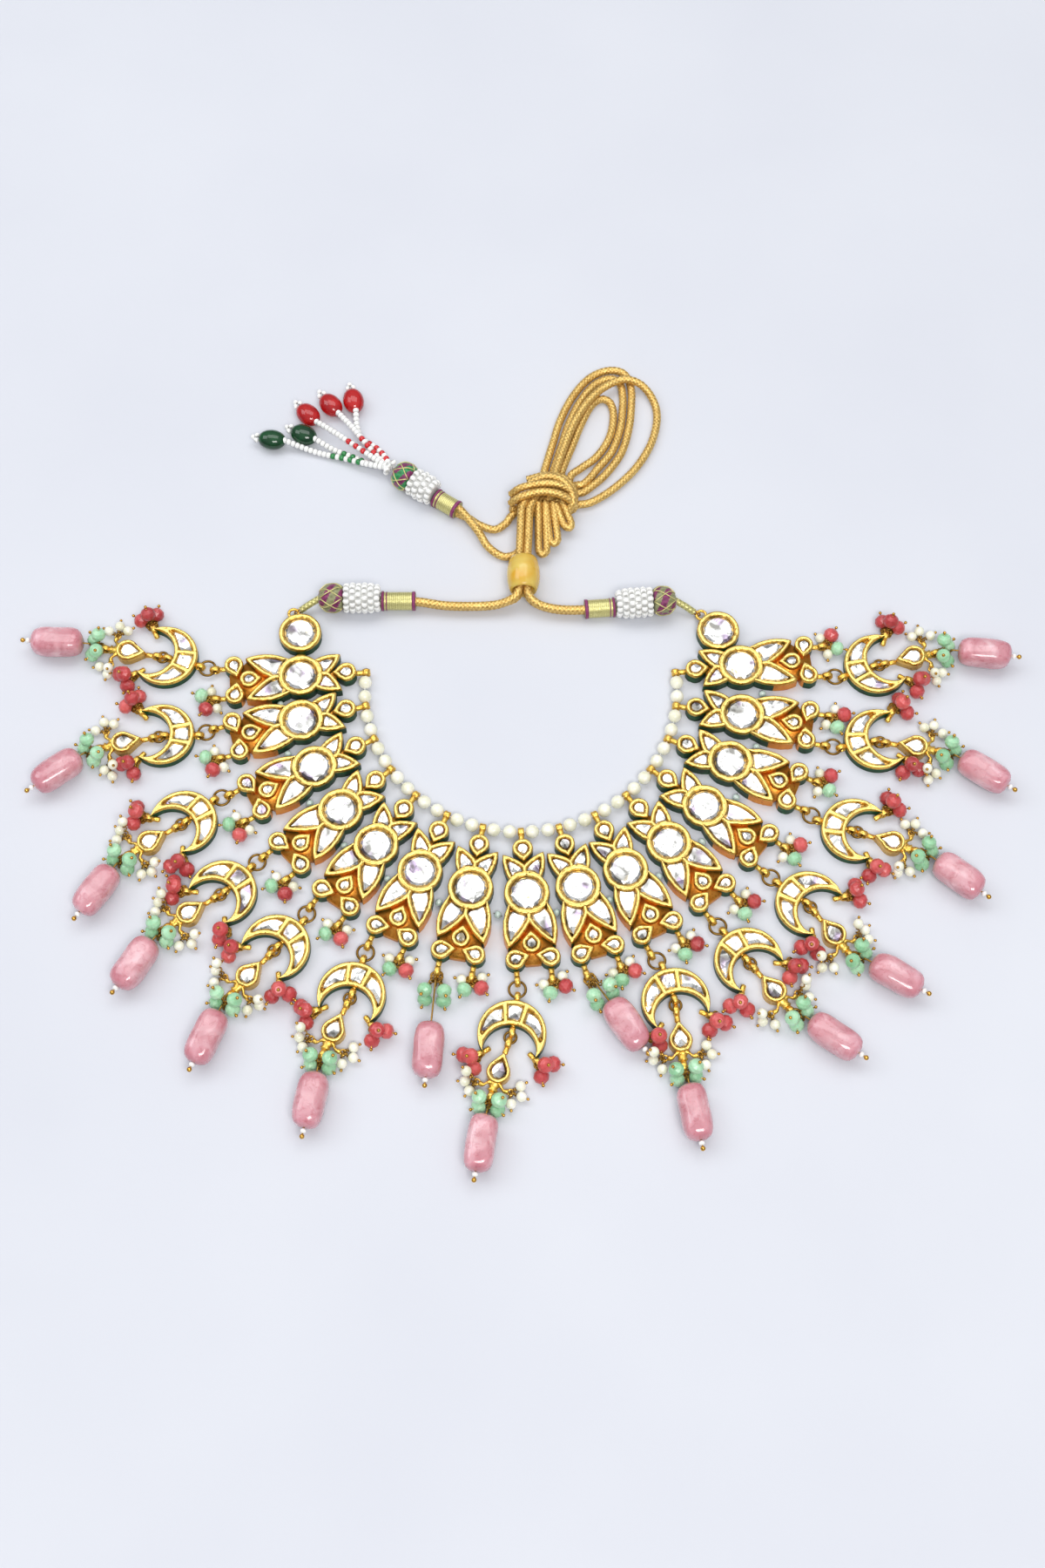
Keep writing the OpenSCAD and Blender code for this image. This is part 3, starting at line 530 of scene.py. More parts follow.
PIECES = 15
MIDDLE = 7
NECK = np.array((0.3, 67.3))
NECK_R = 51
STEP = 13.75
RING_Z = 1.7
ROUND_X = 21.4
ROUND_R = 7.2
BAIL = (49.4, 5.4)
SETTING_H = 5.0
CRESCENT_R, HOLLOW_R, HOLLOW_X = 10.6, 8.2, 5.6
CRESCENT_TOP, CRESCENT_RIM = 3.9, 1.6
RING_R, SMALL_RING_R, BUNCH_RING_R, MINT_RING_R = 2.6, 1.8, 1.5, 1.8
OUTER_EYE_X, INNER_EYE_X, DROP_EYE_X, FOOT_X = 11.9, 0.7, 8.6, 9.0
FOOT_ARM = (5.9, 5.4)
CORAL_R, MINT_R, PINK_R, PINK_LEN = 2.6, 2.5, 5.2, 17.6
HORN_X = (CRESCENT_R**2 - HOLLOW_R**2 + HOLLOW_X**2) / (2 * HOLLOW_X)
HORN_Y = math.sqrt(CRESCENT_R**2 - HORN_X**2)
HORN_EYE = (HORN_X + 0.8, HORN_Y + 0.8)
HORN_ANGLE = 50

# Directions of each chain in degrees, from its lotus outwards; hangs is 0 where it has no
# crescent, reach is how far the middle of its pink bead lies from the bead's eye, and the
# fans turn the bunches at the crescent's two horns and at the other leaf of the lotus
LEAN, HANGS, RING, OPENING, DROP, BEAD, REACH, FAN_L, FAN_R, FAN_LEAF = range(10)
CHAINS = [
    # lean, hangs, ring, opening, drop, bead, reach, fan_l, fan_r, fan_leaf
    (11, 1, -19, -21, -14, -8, 15.4, 50, 50, 15),
    (8, 1, 10, -15, -3, 22, 15.4, 50, 50, 15),
    (8, 1, -8, 12, 4, 28, 15.4, 50, 37, 15),
    (8.5, 1, 0, 3, -9, 13, 15.4, 49, 24, 15),
    (7, 1, 12, -8, -7, 11, 15.4, 0, 50, 15),
    (5, 1, 7, 7, -1, 12, 15.4, 55, 50, 15),
    (4, 0, 5, 5, 5, 5, 26.2, 0, 0, 15),
    (5, 1, -5, -13, -23, -15, 15.4, 45, 55, 20),
    (2, 0, 12, 12, 19, 19, 20.6, 0, 0, 20),
    (-1.5, 1, 15, -8, -20, -16, 15.4, 6, 7, 15),
    (-3.5, 1, 5, -1, 0, 16, 15.4, 50, 7, 15),
    (-4, 1, -4, 2, -15, 8, 15.4, 73, 50, 15),
    (-2.5, 1, -18, 6, 4, -15, 15.4, 50, 60, 15),
    (-2.5, 1, 2, 22, 0, -24, 15.4, 90, 14, -20),
    (-1, 1, -11, 16, 8, -12, 15.4, 50, 45, 15),
]
NARROW_BUNCHES = {(3, 1), (4, -1), (9, -1)}
HANGING = [i for i in range(PIECES) if CHAINS[i][HANGS]]


def tube_angle(i):
    return 270 + (i - MIDDLE) * STEP


def tube_point(i):
    return NECK + NECK_R * unit(tube_angle(i))


def lotus_angle(i):
    return tube_angle(i) + CHAINS[i][LEAN]


def turned(i, column):
    return lotus_angle(i) + CHAINS[i][column]


def chain_eye(i):
    return at(tube_point(i), lotus_angle(i), BAIL[0], -BAIL[1])


def crescent_center(i):
    return chain_eye(i) + 2 * RING_R * unit(turned(i, RING)) + OUTER_EYE_X * unit(turned(i, OPENING))


def drop_center(i):
    inner_eye = crescent_center(i) - INNER_EYE_X * unit(turned(i, OPENING))
    return inner_eye + (2 * SMALL_RING_R + DROP_EYE_X) * unit(turned(i, DROP))


def bead_eye(i):
    return drop_center(i) + FOOT_X * unit(turned(i, DROP)) if CHAINS[i][HANGS] else chain_eye(i)


# Cords: points of their routes, which lie at FLAT where they give no height

FLAT, LOW, HIGH = 1.4, 4.3, 6.9
ROUTES = {
    "cord_left_a": [
        (-45.6, 99.6, 1.9), (-39.2, 99.5, 1.9), (-33.2, 99.3, 1.8), (-25.2, 98.2), (-16.6, 97.9),
        (-9.2, 98.2, 1.6), (-4.6, 99, 2.7), (-1.4, 100, 3.8), (-0.2, 102.6, LOW),
        (-0.2, 108, LOW), (-0.2, 114.5, LOW), (0.1, 123, 4), (0.4, 132.3, 4),
    ],
    "cord_left_b": [
        (-45.6, 98.6, 4.5), (-39.2, 98.5, 4.5), (-33.2, 98.3, 4.4), (-25.2, 97.2, 4), (-16.6, 96.9, 4),
        (-8.8, 97.2, 4.2), (-4.2, 98, 5.3), (-1.3, 99.6, 6.4), (-0.2, 102.6, HIGH),
        (-0.2, 108, HIGH), (-0.2, 114.5, HIGH), (0.1, 123, 6.8), (0.4, 132.3, 6.8),
    ],
    "cord_right_a": [
        (31.2, 97.2, 1.9), (25.8, 96.8, 1.9), (20, 96.3, 1.8), (13.2, 96.6, 1.5), (8, 97.5, 2),
        (4.6, 98.8, 2.9), (2.7, 100.8, 3.9), (2.4, 103, LOW), (2.4, 108, LOW),
        (2.4, 114.5, LOW), (2.8, 123, 4), (3.1, 132.3, 4),
    ],
    "cord_right_b": [
        (31.2, 96.3, 4.5), (25.8, 95.9, 4.5), (20, 95.4, 4.4), (13.2, 95.6, 4.2), (7.5, 96.6, 4.7),
        (4.2, 98.3, 5.6), (2.6, 100.6, 6.5), (2.4, 103, HIGH), (2.4, 108, HIGH),
        (2.4, 114.5, HIGH), (2.8, 123, 6.8), (3.1, 132.3, 6.8),
    ],
    "loop_a": [
        (7.6, 147, 1.6), (8.6, 152), (11.3, 162), (13.8, 171), (18, 180.5), (23.8, 188.3),
        (30.3, 191.8), (36, 190.8), (38.6, 185), (38.6, 177), (37.6, 168), (34.8, 158),
        (29.4, 149.6), (24.2, 144.4), (21.4, 142.2, 1.5), (19.3, 141.8, 1.6),
    ],
    "loop_b": [
        (11.8, 147, 4.5), (13, 152, 4.2), (15.8, 161, 4.1), (19, 169.5, 4.1), (23.8, 177.6, 4.1),
        (29.4, 183.2, 4.1), (36.2, 186.4, 4.1), (42.2, 184.6, 3.3), (46.4, 179, 1.7), (47.4, 171.5),
        (45, 161.5), (39.4, 151.6), (31.8, 143.6), (24.4, 138.4, 1.5), (19.5, 137.2, 1.6),
    ],
    "loop_c": [
        (13.4, 147, 1.6), (14.7, 152), (18, 161), (21.2, 170), (24.8, 177.4), (28.4, 180),
        (31.5, 178), (32.3, 172), (30.7, 164), (26.4, 156.6),
        (21, 152), (17.8, 149.4, 1.5), (16.8, 147.1, 1.6),
    ],
    "loop_d": [
        (10.5, 147, 1.6), (11.7, 152), (14.4, 161.4), (17, 170.2), (20.8, 178.8), (25.7, 185.6),
        (30.9, 188.4), (34.7, 186.6), (35.7, 181), (35.5, 175), (34.5, 167.2), (31.6, 158.6),
        (26.7, 151.8), (23.6, 147.6), (21.4, 145.4, 1.5), (19.3, 145, 1.6),
    ],
    "tail_a": [
        (-28, 138.1, 1.9), (-21.9, 134, 1.8), (-17.8, 132.2, 1.5),
        (-13.8, 129.4), (-8.8, 127.6), (-5.1, 129.8), (-3.4, 132.3, 1.6),
    ],
    "tail_b": [
        (-27.5, 138.8, 4.5), (-21.4, 134.7, 4.4), (-18, 131, 4), (-14, 125.4, 3.6), (-10.8, 120.4, 2.4),
        (-5.8, 117.2), (-1.2, 118.4, 1.35), (0.8, 123, 1.35), (1.7, 128, 1.35), (2, 132.3),
    ],
}
FINE = 0.3  # length of a braid's segments


def braid(path, radius=1.22, relief=0.27, threads=5, pitch=1.45, sides=25):
    """A round braid: two sets of threads that cross over and under each other."""
    along = reach_along(path)[:, None] / pitch
    round_it = threads * np.arange(sides)[None] / sides
    one, two = along + round_it, along - round_it
    over = (np.floor(one) + np.floor(two)) % 2 < 1
    arch_one, arch_two = (np.sin(math.pi * (v % 1)) for v in (one, two))
    top, below = np.where(over, arch_one, arch_two), np.where(over, arch_two, arch_one)
    height = top**0.6 * (0.55 + 0.45 * below)
    # The height is also the tone, from which the materials paint shade between the threads and light on them.
    return tube(path, radius + relief * (height - 0.35), sides, tones=height.reshape(-1))


def make_cords():
    """The object, the path and the length of each cord."""
    made = {}
    for name, route in ROUTES.items():
        path = smooth([(*point, FLAT)[:3] for point in route], FINE)
        cord = Piece(name + "_braid").add(braid(path), "braid").build("dori", name)
        made[name] = (cord, path, float(reach_along(path)[-1]))
    return made


CORDS = make_cords()


# Flat outlines of the settings, as closed rows of points


def circle(center, r, n=72):
    return np.asarray(center, float) + r * np.array([unit(360 * k / n) for k in range(n)])


def cut_off(outline, normal, limit):
    """The part of a convex outline where normal times point is at most limit."""
    normal = np.asarray(normal, float)
    kept = []
    for a, b in zip(outline, np.roll(outline, -1, 0)):
        da, db = normal @ a - limit, normal @ b - limit
        if da <= 0:
            kept.append(a)
        if da * db < 0:
            kept.append(a + (b - a) * da / (da - db))
    return np.array(kept)


def common(outline, other):
    """What two convex outlines share."""
    for a, b in zip(other, np.roll(other, -1, 0)):
        normal = np.array(((b - a)[1], -(b - a)[0]))
        outline = cut_off(outline, normal, normal @ a)
    return outline


def even(outline, count):
    """Points at even steps round an outline."""
    closed = np.concatenate((outline, outline[:1]))
    reach = reach_along(closed)
    steps = np.linspace(0, reach[-1], count, endpoint=False)
    return np.stack([np.interp(steps, reach, closed[:, k]) for k in range(2)], 1)


def tear(center, r, tip):
    """A round drop that narrows to a tip."""
    center, tip = np.asarray(center, float), np.asarray(tip, float)
    run = tip - center
    lean = math.degrees(math.atan2(run[1], run[0]))
    spread = math.degrees(math.acos(r / np.linalg.norm(run)))
    arc = [center + r * unit(a) for a in np.linspace(lean + spread, lean + 360 - spread, 40)]
    return np.array([tip] + arc)


def petal(outer, outer_r, inner, inner_r, from_x, to_x, cut, axis_gap, hub_r):
    """A pointed petal between two arcs, kept clear of the long axis and of the round middle."""
    outline = common(circle(outer, outer_r - cut), circle(inner, inner_r - cut))
    for normal, limit in (((-1, 0), -from_x), ((1, 0), to_x), ((0, 1), -axis_gap)):
        outline = cut_off(outline, normal, limit)
    outline = even(outline, 160)
    run = outline - (ROUND_X, 0)
    reach = np.linalg.norm(run, axis=1, keepdims=True)
    return np.where(reach < hub_r, (ROUND_X, 0) + run / reach * hub_r, outline)


RIM = 1.4
UPPER = ((10.5, 6.3), 13, (22.1, -10.5), 14.6, 5, ROUND_X - 2)
LOWER = ((33.4, 7.6), 16.1, (19.2, -20.6), 24.1, ROUND_X + 1, 42)
MIDDLE_OF_ROUND = (ROUND_X, 0)
SINGLE, PAIR = (38.3, 0), (43, -5.5)
# Outline and window of each part of a lotus, how many points go round it, and how many
# facets its stone has
LOTUS = {
    "inner_tear": (tear((6.4, 0), 3.25, (10.9, 0)), tear((6.4, 0), 3.25 - RIM, (10.9 - 1.4 * RIM, 0)), 40, 9),
    "upper": (petal(*UPPER, 0, -0.7, 6.4), petal(*UPPER, RIM, 0.65, 7.3), 60, 9),
    "lower": (petal(*LOWER, 0, -0.7, 6.4), petal(*LOWER, RIM, 0.65, 7.3), 64, 10),
    "round": (circle(MIDDLE_OF_ROUND, ROUND_R), circle(MIDDLE_OF_ROUND, ROUND_R - 1.3 * RIM), 64, 14),
    "single_leaf": (tear(SINGLE, 3, (33.9, 0)), tear(SINGLE, 3 - RIM, (33.9 + 1.4 * RIM, 0)), 40, 9),
    "pair_leaf": (tear(PAIR, 3.1, (42.1, -0.75)), tear(PAIR, 3.1 - RIM, (42.1, -0.75 - 1.5 * RIM)), 40, 9),
}
PAIRED = ("upper", "lower", "pair_leaf")

# Section of a rim, as share of its width from outside, depth below the top, and tone, which paints shade low
# on its walls and a highlight along its crest
RIM_SECTION = [
    (0.0, -1.25, 0.25), (0.03, -0.6, 0.4), (0.12, -0.2, 0.65), (0.3, -0.05, 0.9), (0.5, 0.0, 1.0),
    (0.7, -0.06, 0.9), (0.88, -0.26, 0.55), (1.0, -0.7, 0.2), (1.02, -1.7, 0.0),
]


def spokes(outline, center, turns):
    """Points where rays from the centre leave an outline."""
    edge = np.roll(outline, -1, 0) - outline
    run = outline - center
    points = []
    for turn in turns:
        ray = np.array((math.cos(turn), math.sin(turn)))
        across = ray[0] * edge[:, 1] - ray[1] * edge[:, 0]
        across = np.where(abs(across) < 1e-12, 1e-12, across)
        reach = (run[:, 0] * edge[:, 1] - run[:, 1] * edge[:, 0]) / across
        share = (run[:, 0] * ray[1] - run[:, 1] * ray[0]) / across
        hit = reach[(share >= -1e-9) & (share <= 1 + 1e-9) & (reach > 0)]
        points.append(center + ray * (hit.max() if len(hit) else 0.0))
    return np.array(points)


def rim_and_stone(outline, window, count, height, seed, crown, facets):
    """A closed setting: its rounded, uneven rim, its wall, and the cut stone in its window."""
    center = even(window, 60).mean(0)
    run = even(outline, count) - center
    turns = np.unwrap(np.arctan2(run[:, 1], run[:, 0]))
    outer, inner = spokes(outline, center, turns), spokes(window, center, turns)
    shift = Vector((seed * 3.7, seed * 1.9, seed))
    sway = np.array([noise.noise(Vector((*p, 0)) * 0.8 + shift) for p in outer])
    chip = np.array([noise.noise(Vector((*p, 9)) * 2.2 + shift) for p in outer])
    rows = []
    for share, depth, _ in RIM_SECTION:
        share = np.clip(share + (0.1 * sway + 0.06 * chip), -0.04, 1.08)[:, None]
        z = height + depth + (0.2 * sway + 0.12 * chip) * (depth > -1)
        rows.append(np.column_stack((outer + (inner - outer) * share, z)))
    tones = np.repeat([tone for _, _, tone in RIM_SECTION], count)
    points = np.concatenate(rows)
    floor_of_rim = tuple(range(len(points) - count, len(points)))
    rim = shape(points, [face[::-1] for face in grid(len(rows), count)] + [floor_of_rim], tones)
    wall_points = np.concatenate((rows[0] * (1, 1, 0), rows[0]))
    wall_faces = [face[::-1] for face in grid(2, count)] + [tuple(range(count - 1, -1, -1))]
    return rim, shape(wall_points, wall_faces), cut_stone(window, center, height, crown, facets, seed)


def cut_stone(window, center, height, crown, facets, seed):
    """A stone that fills its window: a girdle, slanted facets and a flat table with low facets."""
    draw = random.Random(seed * 31 + 5)
    turns = [2 * math.pi * (k + 0.3 * draw.random()) / facets for k in range(facets)]
    girdle = spokes(window, center, turns)
    corners = spokes(window, center, [t + math.pi / facets for t in turns])
    base = height - 1.25
    points = []
    for row, share, z in ((girdle, 1.04, -0.3), (corners, 0.95, 0.45 * crown), (girdle, 0.8, 0.86 * crown)):
        for p in row:
            place = center + (p - center) * share * (1 + 0.03 * (draw.random() - 0.5))
            points.append((*place, base + z + 0.05 * (draw.random() - 0.5)))
    points.append((*(center + 0.3 * (draw.random() - 0.5)), base + crown + 0.05))
    # Tone 0 at the girdle, where the stone's material paints shade.
    tones = [0.0] * facets + [1.0] * (2 * facets + 1)
    faces = []
    for k in range(facets):
        n = (k + 1) % facets
        g, c, t = k, facets + k, 2 * facets + k
        gn, cn, tn = n, facets + n, 2 * facets + n
        faces += [(g, gn, c), (gn, cn, c), (c, cn, tn), (c, tn, t), (t, tn, 3 * facets)]
    faces.append(tuple(range(facets - 1, -1, -1)))
    return shape(points, faces, tones)


def bail():
    """A folded strap round the origin with its hole sideways, on a neck that comes from negative x."""
    strap = loop(1.36, 0.34, 8, 28, stretch=1.12, width=2.6)
    upright = shape(strap[0][:, (0, 2, 1)] * (1, -1, 1), strap[1], strap[2])
    neck = lathe([(-3.9, 0.5), (-3.6, 0.8), (-1.9, 0.78), (-1.4, 0.6), (-1.3, 0.2)], 12)
    return joined(upright, scaled(neck, (1, 1.1, 0.9)))


def split_wall(wall):
    """The faces of a wall that look into the notch between the lower petals, and the others."""
    points, faces, tones = wall
    notch, rest = [], []
    for face in faces:
        x, y, _ = points[list(face)].mean(0)
        run = points[face[1]] - points[face[0]]
        run = run if abs(run[2]) < 1e-6 else points[face[2]] - points[face[1]]
        to_axis = run[0] * y > 0 if x < 41 else abs(y) < 2
        is_notch = 31 < x < 43.5 and len(face) == 4 and (to_axis or abs(y) < 3.3)
        (notch if is_notch else rest).append(face)
    return shape(points, notch, tones), shape(points, rest, tones)


def slab(outline, top):
    """A plate under the petals, a little above the ground."""
    outline = np.array(outline)
    low, high = (np.column_stack((outline, np.full(len(outline), z))) for z in (0.3, top))
    return shape(np.concatenate((low, high)), capped(2, len(outline)))


def make_lotus(i):
    piece = Piece(f"lotus_{i + 1:02d}").go(tube_point(i), lotus_angle(i))
    for k, (name, (outline, window, count, facets)) in enumerate(LOTUS.items()):
        for side in (1, -1) if name in PAIRED else (1,):
            seed = 10 * i + k + (5 if side < 0 else 0) + 1
            crown = 1.25 if name == "round" else 0.95
            rim, wall, stone = rim_and_stone(outline, window, count, SETTING_H, seed, crown, facets)
            # The gilt walls in the notch take the shaded copy of the gold: painted shade.
            gilt, enamelled = split_wall(wall)
            for part, look in ((rim, "gold"), (gilt, "shaded_recess_gold"), (enamelled, "enamel"), (stone, "stone")):
                if part[1]:
                    piece.put(part if side > 0 else mirrored(part), look)
    plate = [(30, 0), (38.6, -6.9), (40.8, -4.5), (44.6, -2.4), (44.6, 2.4), (40.8, 4.5), (38.6, 6.9)]
    # The plates take the shaded copy of the gold too: painted shade.
    piece.put(slab(plate, 3.3), "shaded_recess_gold")
    piece.put(slab([(9, -0.8), (14, -2.6), (14, 2.6), (9, 0.8)], 3.0), "shaded_recess_gold")
    stem = lathe([(0.4, 0.55), (0.8, 0.85), (3.2, 0.95), (3.6, 0.7)], 12)
    piece.put(shape(stem[0] + (0, 0, 2.4), stem[1]), "gold")
    bead = lathe([(-1, 0.9), (-0.95, 1.3), (-0.45, 1.42), (0, 1.3), (0.45, 1.42), (0.95, 1.3), (1, 0.9)], 16)
    piece.put(lumpy(moved(bead, (0, 0, 2.3), (0, 1, 0)), 0.16, 0.7, i), "gold")
    for side in (-1, 1):
        piece.put(moved(lumpy(bail(), 0.08, 1.2, i + side), (BAIL[0], side * BAIL[1], RING_Z)), "gold")
    return piece


# Place, direction of the flat eye and direction of the bar that is soldered to the lotus
END_SETTINGS = [((-72.6, 87.1), 108, -87), ((65.4, 87.9), 128, -93)]
END_R, END_WINDOW_R, END_H, END_EYE = 7, 5.3, 4.4, 8.5


def add_end_setting(piece, row, seed):
    place, eye_angle, bar_angle = row
    outline, window = circle((0, 0), END_R), circle((0, 0), END_WINDOW_R)
    parts = rim_and_stone(outline, window, 64, END_H, seed, 1.15, 14)
    for part, look in zip(parts, ("gold", "enamel", "stone")):
        piece.go(place, 0).put(part, look)
    piece.add(moved(loop(1.6, 0.5, 8, 24), spot(place, eye_angle, END_EYE, 0, RING_Z)), "gold")
    bar = lathe([(6, 0.9), (6.6, 1.2), (9.6, 1.2), (10, 0.8)], 12)
    piece.go(place, bar_angle).put(scaled(bar, (1, 1.25, 0.7)), "gold", 0.9)


def make_lotuses():
    for i in range(PIECES):
        piece = make_lotus(i)
        if i == 0:
            add_end_setting(piece, END_SETTINGS[0], 301)
        if i == PIECES - 1:
            add_end_setting(piece, END_SETTINGS[1], 302)
        piece.build("gold", f"lotus_setting_{i + 1:02d}")


# Crescents, made of lines of points across them at stations from horn to horn

BARS = (-20, 20)
BAR_HALF = 3.9
OPEN_WIDTH = 3.9  # a crescent narrower than this has no window


def crescent_stations():
    """At each station, its direction and its points on the outer edge and on the hollow."""
    outer_reach = 180 - math.degrees(math.atan2(HORN_Y, HORN_X))
    inner_reach = 180 - math.degrees(math.atan2(HORN_Y, HORN_X - HOLLOW_X))
    steps = [
        (bar + side * (BAR_HALF + d)) / outer_reach
        for bar in BARS for side in (-1, 1) for d in (-0.3, 0.3)
    ]
    stations = []
    for share in sorted([*np.linspace(-1, 1, 73), *steps]):
        turn = 180 - outer_reach * share
        inner = np.array((HOLLOW_X, 0.0)) + HOLLOW_R * unit(180 - inner_reach * share)
        stations.append((turn, CRESCENT_R * unit(turn), inner))
    return stations


def crescent_line(outer, inner, is_open, shift):
    """Points with tones across a crescent: rim, floor of the window, rim."""
    width = np.linalg.norm(outer - inner)
    across = (inner - outer) / max(width, 1e-6)
    rim = min(CRESCENT_RIM, 0.5 * width)
    sway = 0.13 * noise.noise(Vector((*outer, 0)) * 0.7 + shift)
    thin = min(1.0, width / 2.4)
    section = []
    for share, depth, tone in RIM_SECTION[:-1]:
        is_rim = share <= 0.5 or is_open
        z = CRESCENT_TOP + (depth if is_rim else 0.0) * thin + sway
        section.append((rim * share, z, tone if is_rim else 0.9))
    line = [(*(outer + across * run), z, tone) for run, z, tone in section]
    for share in (0.25, 0.5, 0.75):
        middle = outer + across * (rim + (width - 2 * rim) * share)
        lift = 0.1 * noise.noise(Vector((*middle, 3)) * 1.3 + shift)
        # Painted shade: the floor of an open window takes a tone near 0.
        depth, tone = (1.5, 0.05) if is_open else (0, 0.85)
        line.append((*middle, CRESCENT_TOP - depth + lift, tone))
    return line + [(*(inner - across * run), z, tone) for run, z, tone in reversed(section)]


def make_crescent(i, seed):
    stations = crescent_stations()
    rows = len(stations)
    shift = Vector((seed * 2.3, seed * 1.7, seed))
    widths = [np.linalg.norm(outer - inner) for _, outer, inner in stations]
    is_open = []
    for (turn, _, _), width in zip(stations, widths):
        near_bar = min(abs(180 - turn - bar) for bar in BARS) < BAR_HALF
        is_open.append(width > OPEN_WIDTH and not near_bar)
    lines = [crescent_line(o, n, opened, shift) for (_, o, n), opened in zip(stations, is_open)]
    count = len(lines[0])
    points = np.array(lines).reshape(-1, 4)
    points, tones = points[:, :3], points[:, 3]
    corners = [a * count + b for a in range(rows - 1) for b in range(count - 1)]
    top = shape(points, [(p, p + 1, p + count + 1, p + count) for p in corners], tones)
    border = [a * count for a in range(rows)] + [(a + 1) * count - 1 for a in range(rows - 1, -1, -1)]
    around = len(border)
    back = [(a, a + 1, around - 2 - a, around - 1 - a) for a in range(rows - 1)]
    wall_points = np.concatenate((points[border] * (1, 1, 0), points[border]))
    piece = Piece(f"crescent_{i + 1:02d}_gilded").go(crescent_center(i), turned(i, OPENING))
    piece.put(top, "gold")
    piece.put(shape(wall_points, grid(2, around) + back), "enamel")
    # One stone for each run of open stations
    starts = [k for k in range(rows) if is_open[k] and not is_open[k - 1]]
    for start in starts:
        end = next(k for k in range(start, rows) if not is_open[k])
        outer_edge, inner_edge = [], []
        for (_, outer, inner), width in zip(stations[start:end], widths[start:end]):
            rim = (inner - outer) * (CRESCENT_RIM - 0.15) / width
            outer_edge.append(outer + rim)
            inner_edge.append(inner - rim)
        window = np.array(outer_edge + inner_edge[::-1])
        center = even(window, 40).mean(0)
        piece.put(cut_stone(window, center, CRESCENT_TOP, 0.95, 9, seed * 3 + start), "stone")
    eye = lumpy(bail(), 0.07, 1.2, seed)
    piece.put(moved(eye, (-OUTER_EYE_X, 0, RING_Z), (-1, 0, 0)), "gold")
    piece.put(moved(eye, (-INNER_EYE_X, 0, RING_Z)), "gold")
    for side in (-1, 1):
        piece.put(moved(eye, (HORN_EYE[0], side * HORN_EYE[1], RING_Z), level(side * HORN_ANGLE)), "gold")
    piece.build("gold", f"crescent_{i + 1:02d}")


DROP_R, DROP_WINDOW_R, DROP_H = 3.65, 2.45, 4.2


def make_drops():
    """Teardrop settings with an eye, and a foot with two curled arms."""
    piece = Piece("drop_settings_gilded")
    outline, window = tear((1.3, 0), DROP_R, (-5, 0)), tear((1.3, 0), DROP_WINDOW_R, (-2.9, 0))
    for i in HANGING:
        piece.go(drop_center(i), turned(i, DROP))
        parts = rim_and_stone(outline, window, 44, DROP_H, 400 + i, 0.9, 9)
        for part, look in zip(parts, ("gold", "gold", "stone")):
            piece.put(part, look)
        eye = lumpy(bail(), 0.08, 1.1, 50 + i)
        piece.put(moved(eye, (-DROP_EYE_X, 0, RING_Z), (-1, 0, 0)), "gold")
        piece.put(moved(eye, (FOOT_X, 0, RING_Z)), "gold")
        collar = lathe([(3.6, 1.2), (4.6, 1.7), (5.4, 1.5), (6.3, 1.0), (7.0, 1.35), (7.5, 0.8)], 14)
        piece.put(lumpy(scaled(collar, (1, 1.2, 0.9)), 0.2, 1.0, 60 + i), "gold", RING_Z + 0.1)
        for side in (-1, 1):
            bends = [(4.4, 0, 2.0), (5.0, side * 1.8, 2.5), (6.2, side * 3.2, 2.1), (6.0, side * 4.5, RING_Z)]
            arm = smooth(bends, 0.4)
            swell = 0.62 + 0.2 * np.sin(np.linspace(0, 2.6 * math.pi, len(arm)))
            piece.put(lumpy(tube(arm, swell, 8), 0.12, 0.9, 70 + i), "gold")
            piece.put(moved(loop(0.9, 0.3, 6, 16), (FOOT_ARM[0], side * FOOT_ARM[1], RING_Z)), "gold")
    piece.build("gold", "drop_settings")


# Pearls, and the beads that hang in bunches

PEARL_R = 2.2
SMALL_PEARL_R = 1.65


def make_pearls():
    """Two pearls with a dimple at each end of the bore between neighbouring lotuses."""
    piece = Piece("string_pearls_lustrous")
    free = STEP - math.degrees(2 / NECK_R)
    pearl = ball(PEARL_R, 24, 16)
    dimple = 1 - 0.12 * np.exp(-((abs(pearl[0][:, 0]) - PEARL_R) ** 2) / 0.05)
    pearl = shape(pearl[0] * np.column_stack((np.ones(len(dimple)), dimple, dimple)), pearl[1], dimple)
    for i in range(PIECES - 1):
        for k in range(2):
            angle = tube_angle(i) + (STEP - free) / 2 + (k + 0.5) * free / 2
            place = (*(NECK + NECK_R * unit(angle)), 2.3)
            piece.add(moved(lumpy(pearl, 0.05, 2.0, i * 2 + k), place, level(angle + 90)), "pearl")
    piece.build("pearl", "string_pearls")


BEADS = []  # every loose bead so far as (x, y, z, radius), so that new ones keep clear


def pinned(wires, center, hub, bore, end_r=0.55):
    """A headpin from a hub through a bead, with a coiled neck and a ball end; returns its direction."""
    center, hub = np.asarray(center, float), np.asarray(hub, float)
    run = center - hub
    along = normalised(run)
    turns = np.linspace(0, 5 * math.pi, 20)[:, None]
    side = normalised(np.cross(along, (0.3, 0.2, 1)))
    forward = along * ((np.linalg.norm(run) - bore) * np.linspace(0, 1, 20))[:, None]
    coil = hub + forward + 0.5 * (side * np.cos(turns) + np.cross(along, side) * np.sin(turns))
    coil[:, 2] = np.maximum(coil[:, 2], 0.25)
    wires.add(tube(coil, 0.25, 5), "wire")
    end = center + along * (bore + 0.5)
    end[2] = max(end[2], end_r + 0.05)
    wires.add(tube([center - along * bore * 0.9, end], 0.2, 6), "pin")
    wires.add(moved(ball(end_r, 10, 7), end, along), "pin")
    return along


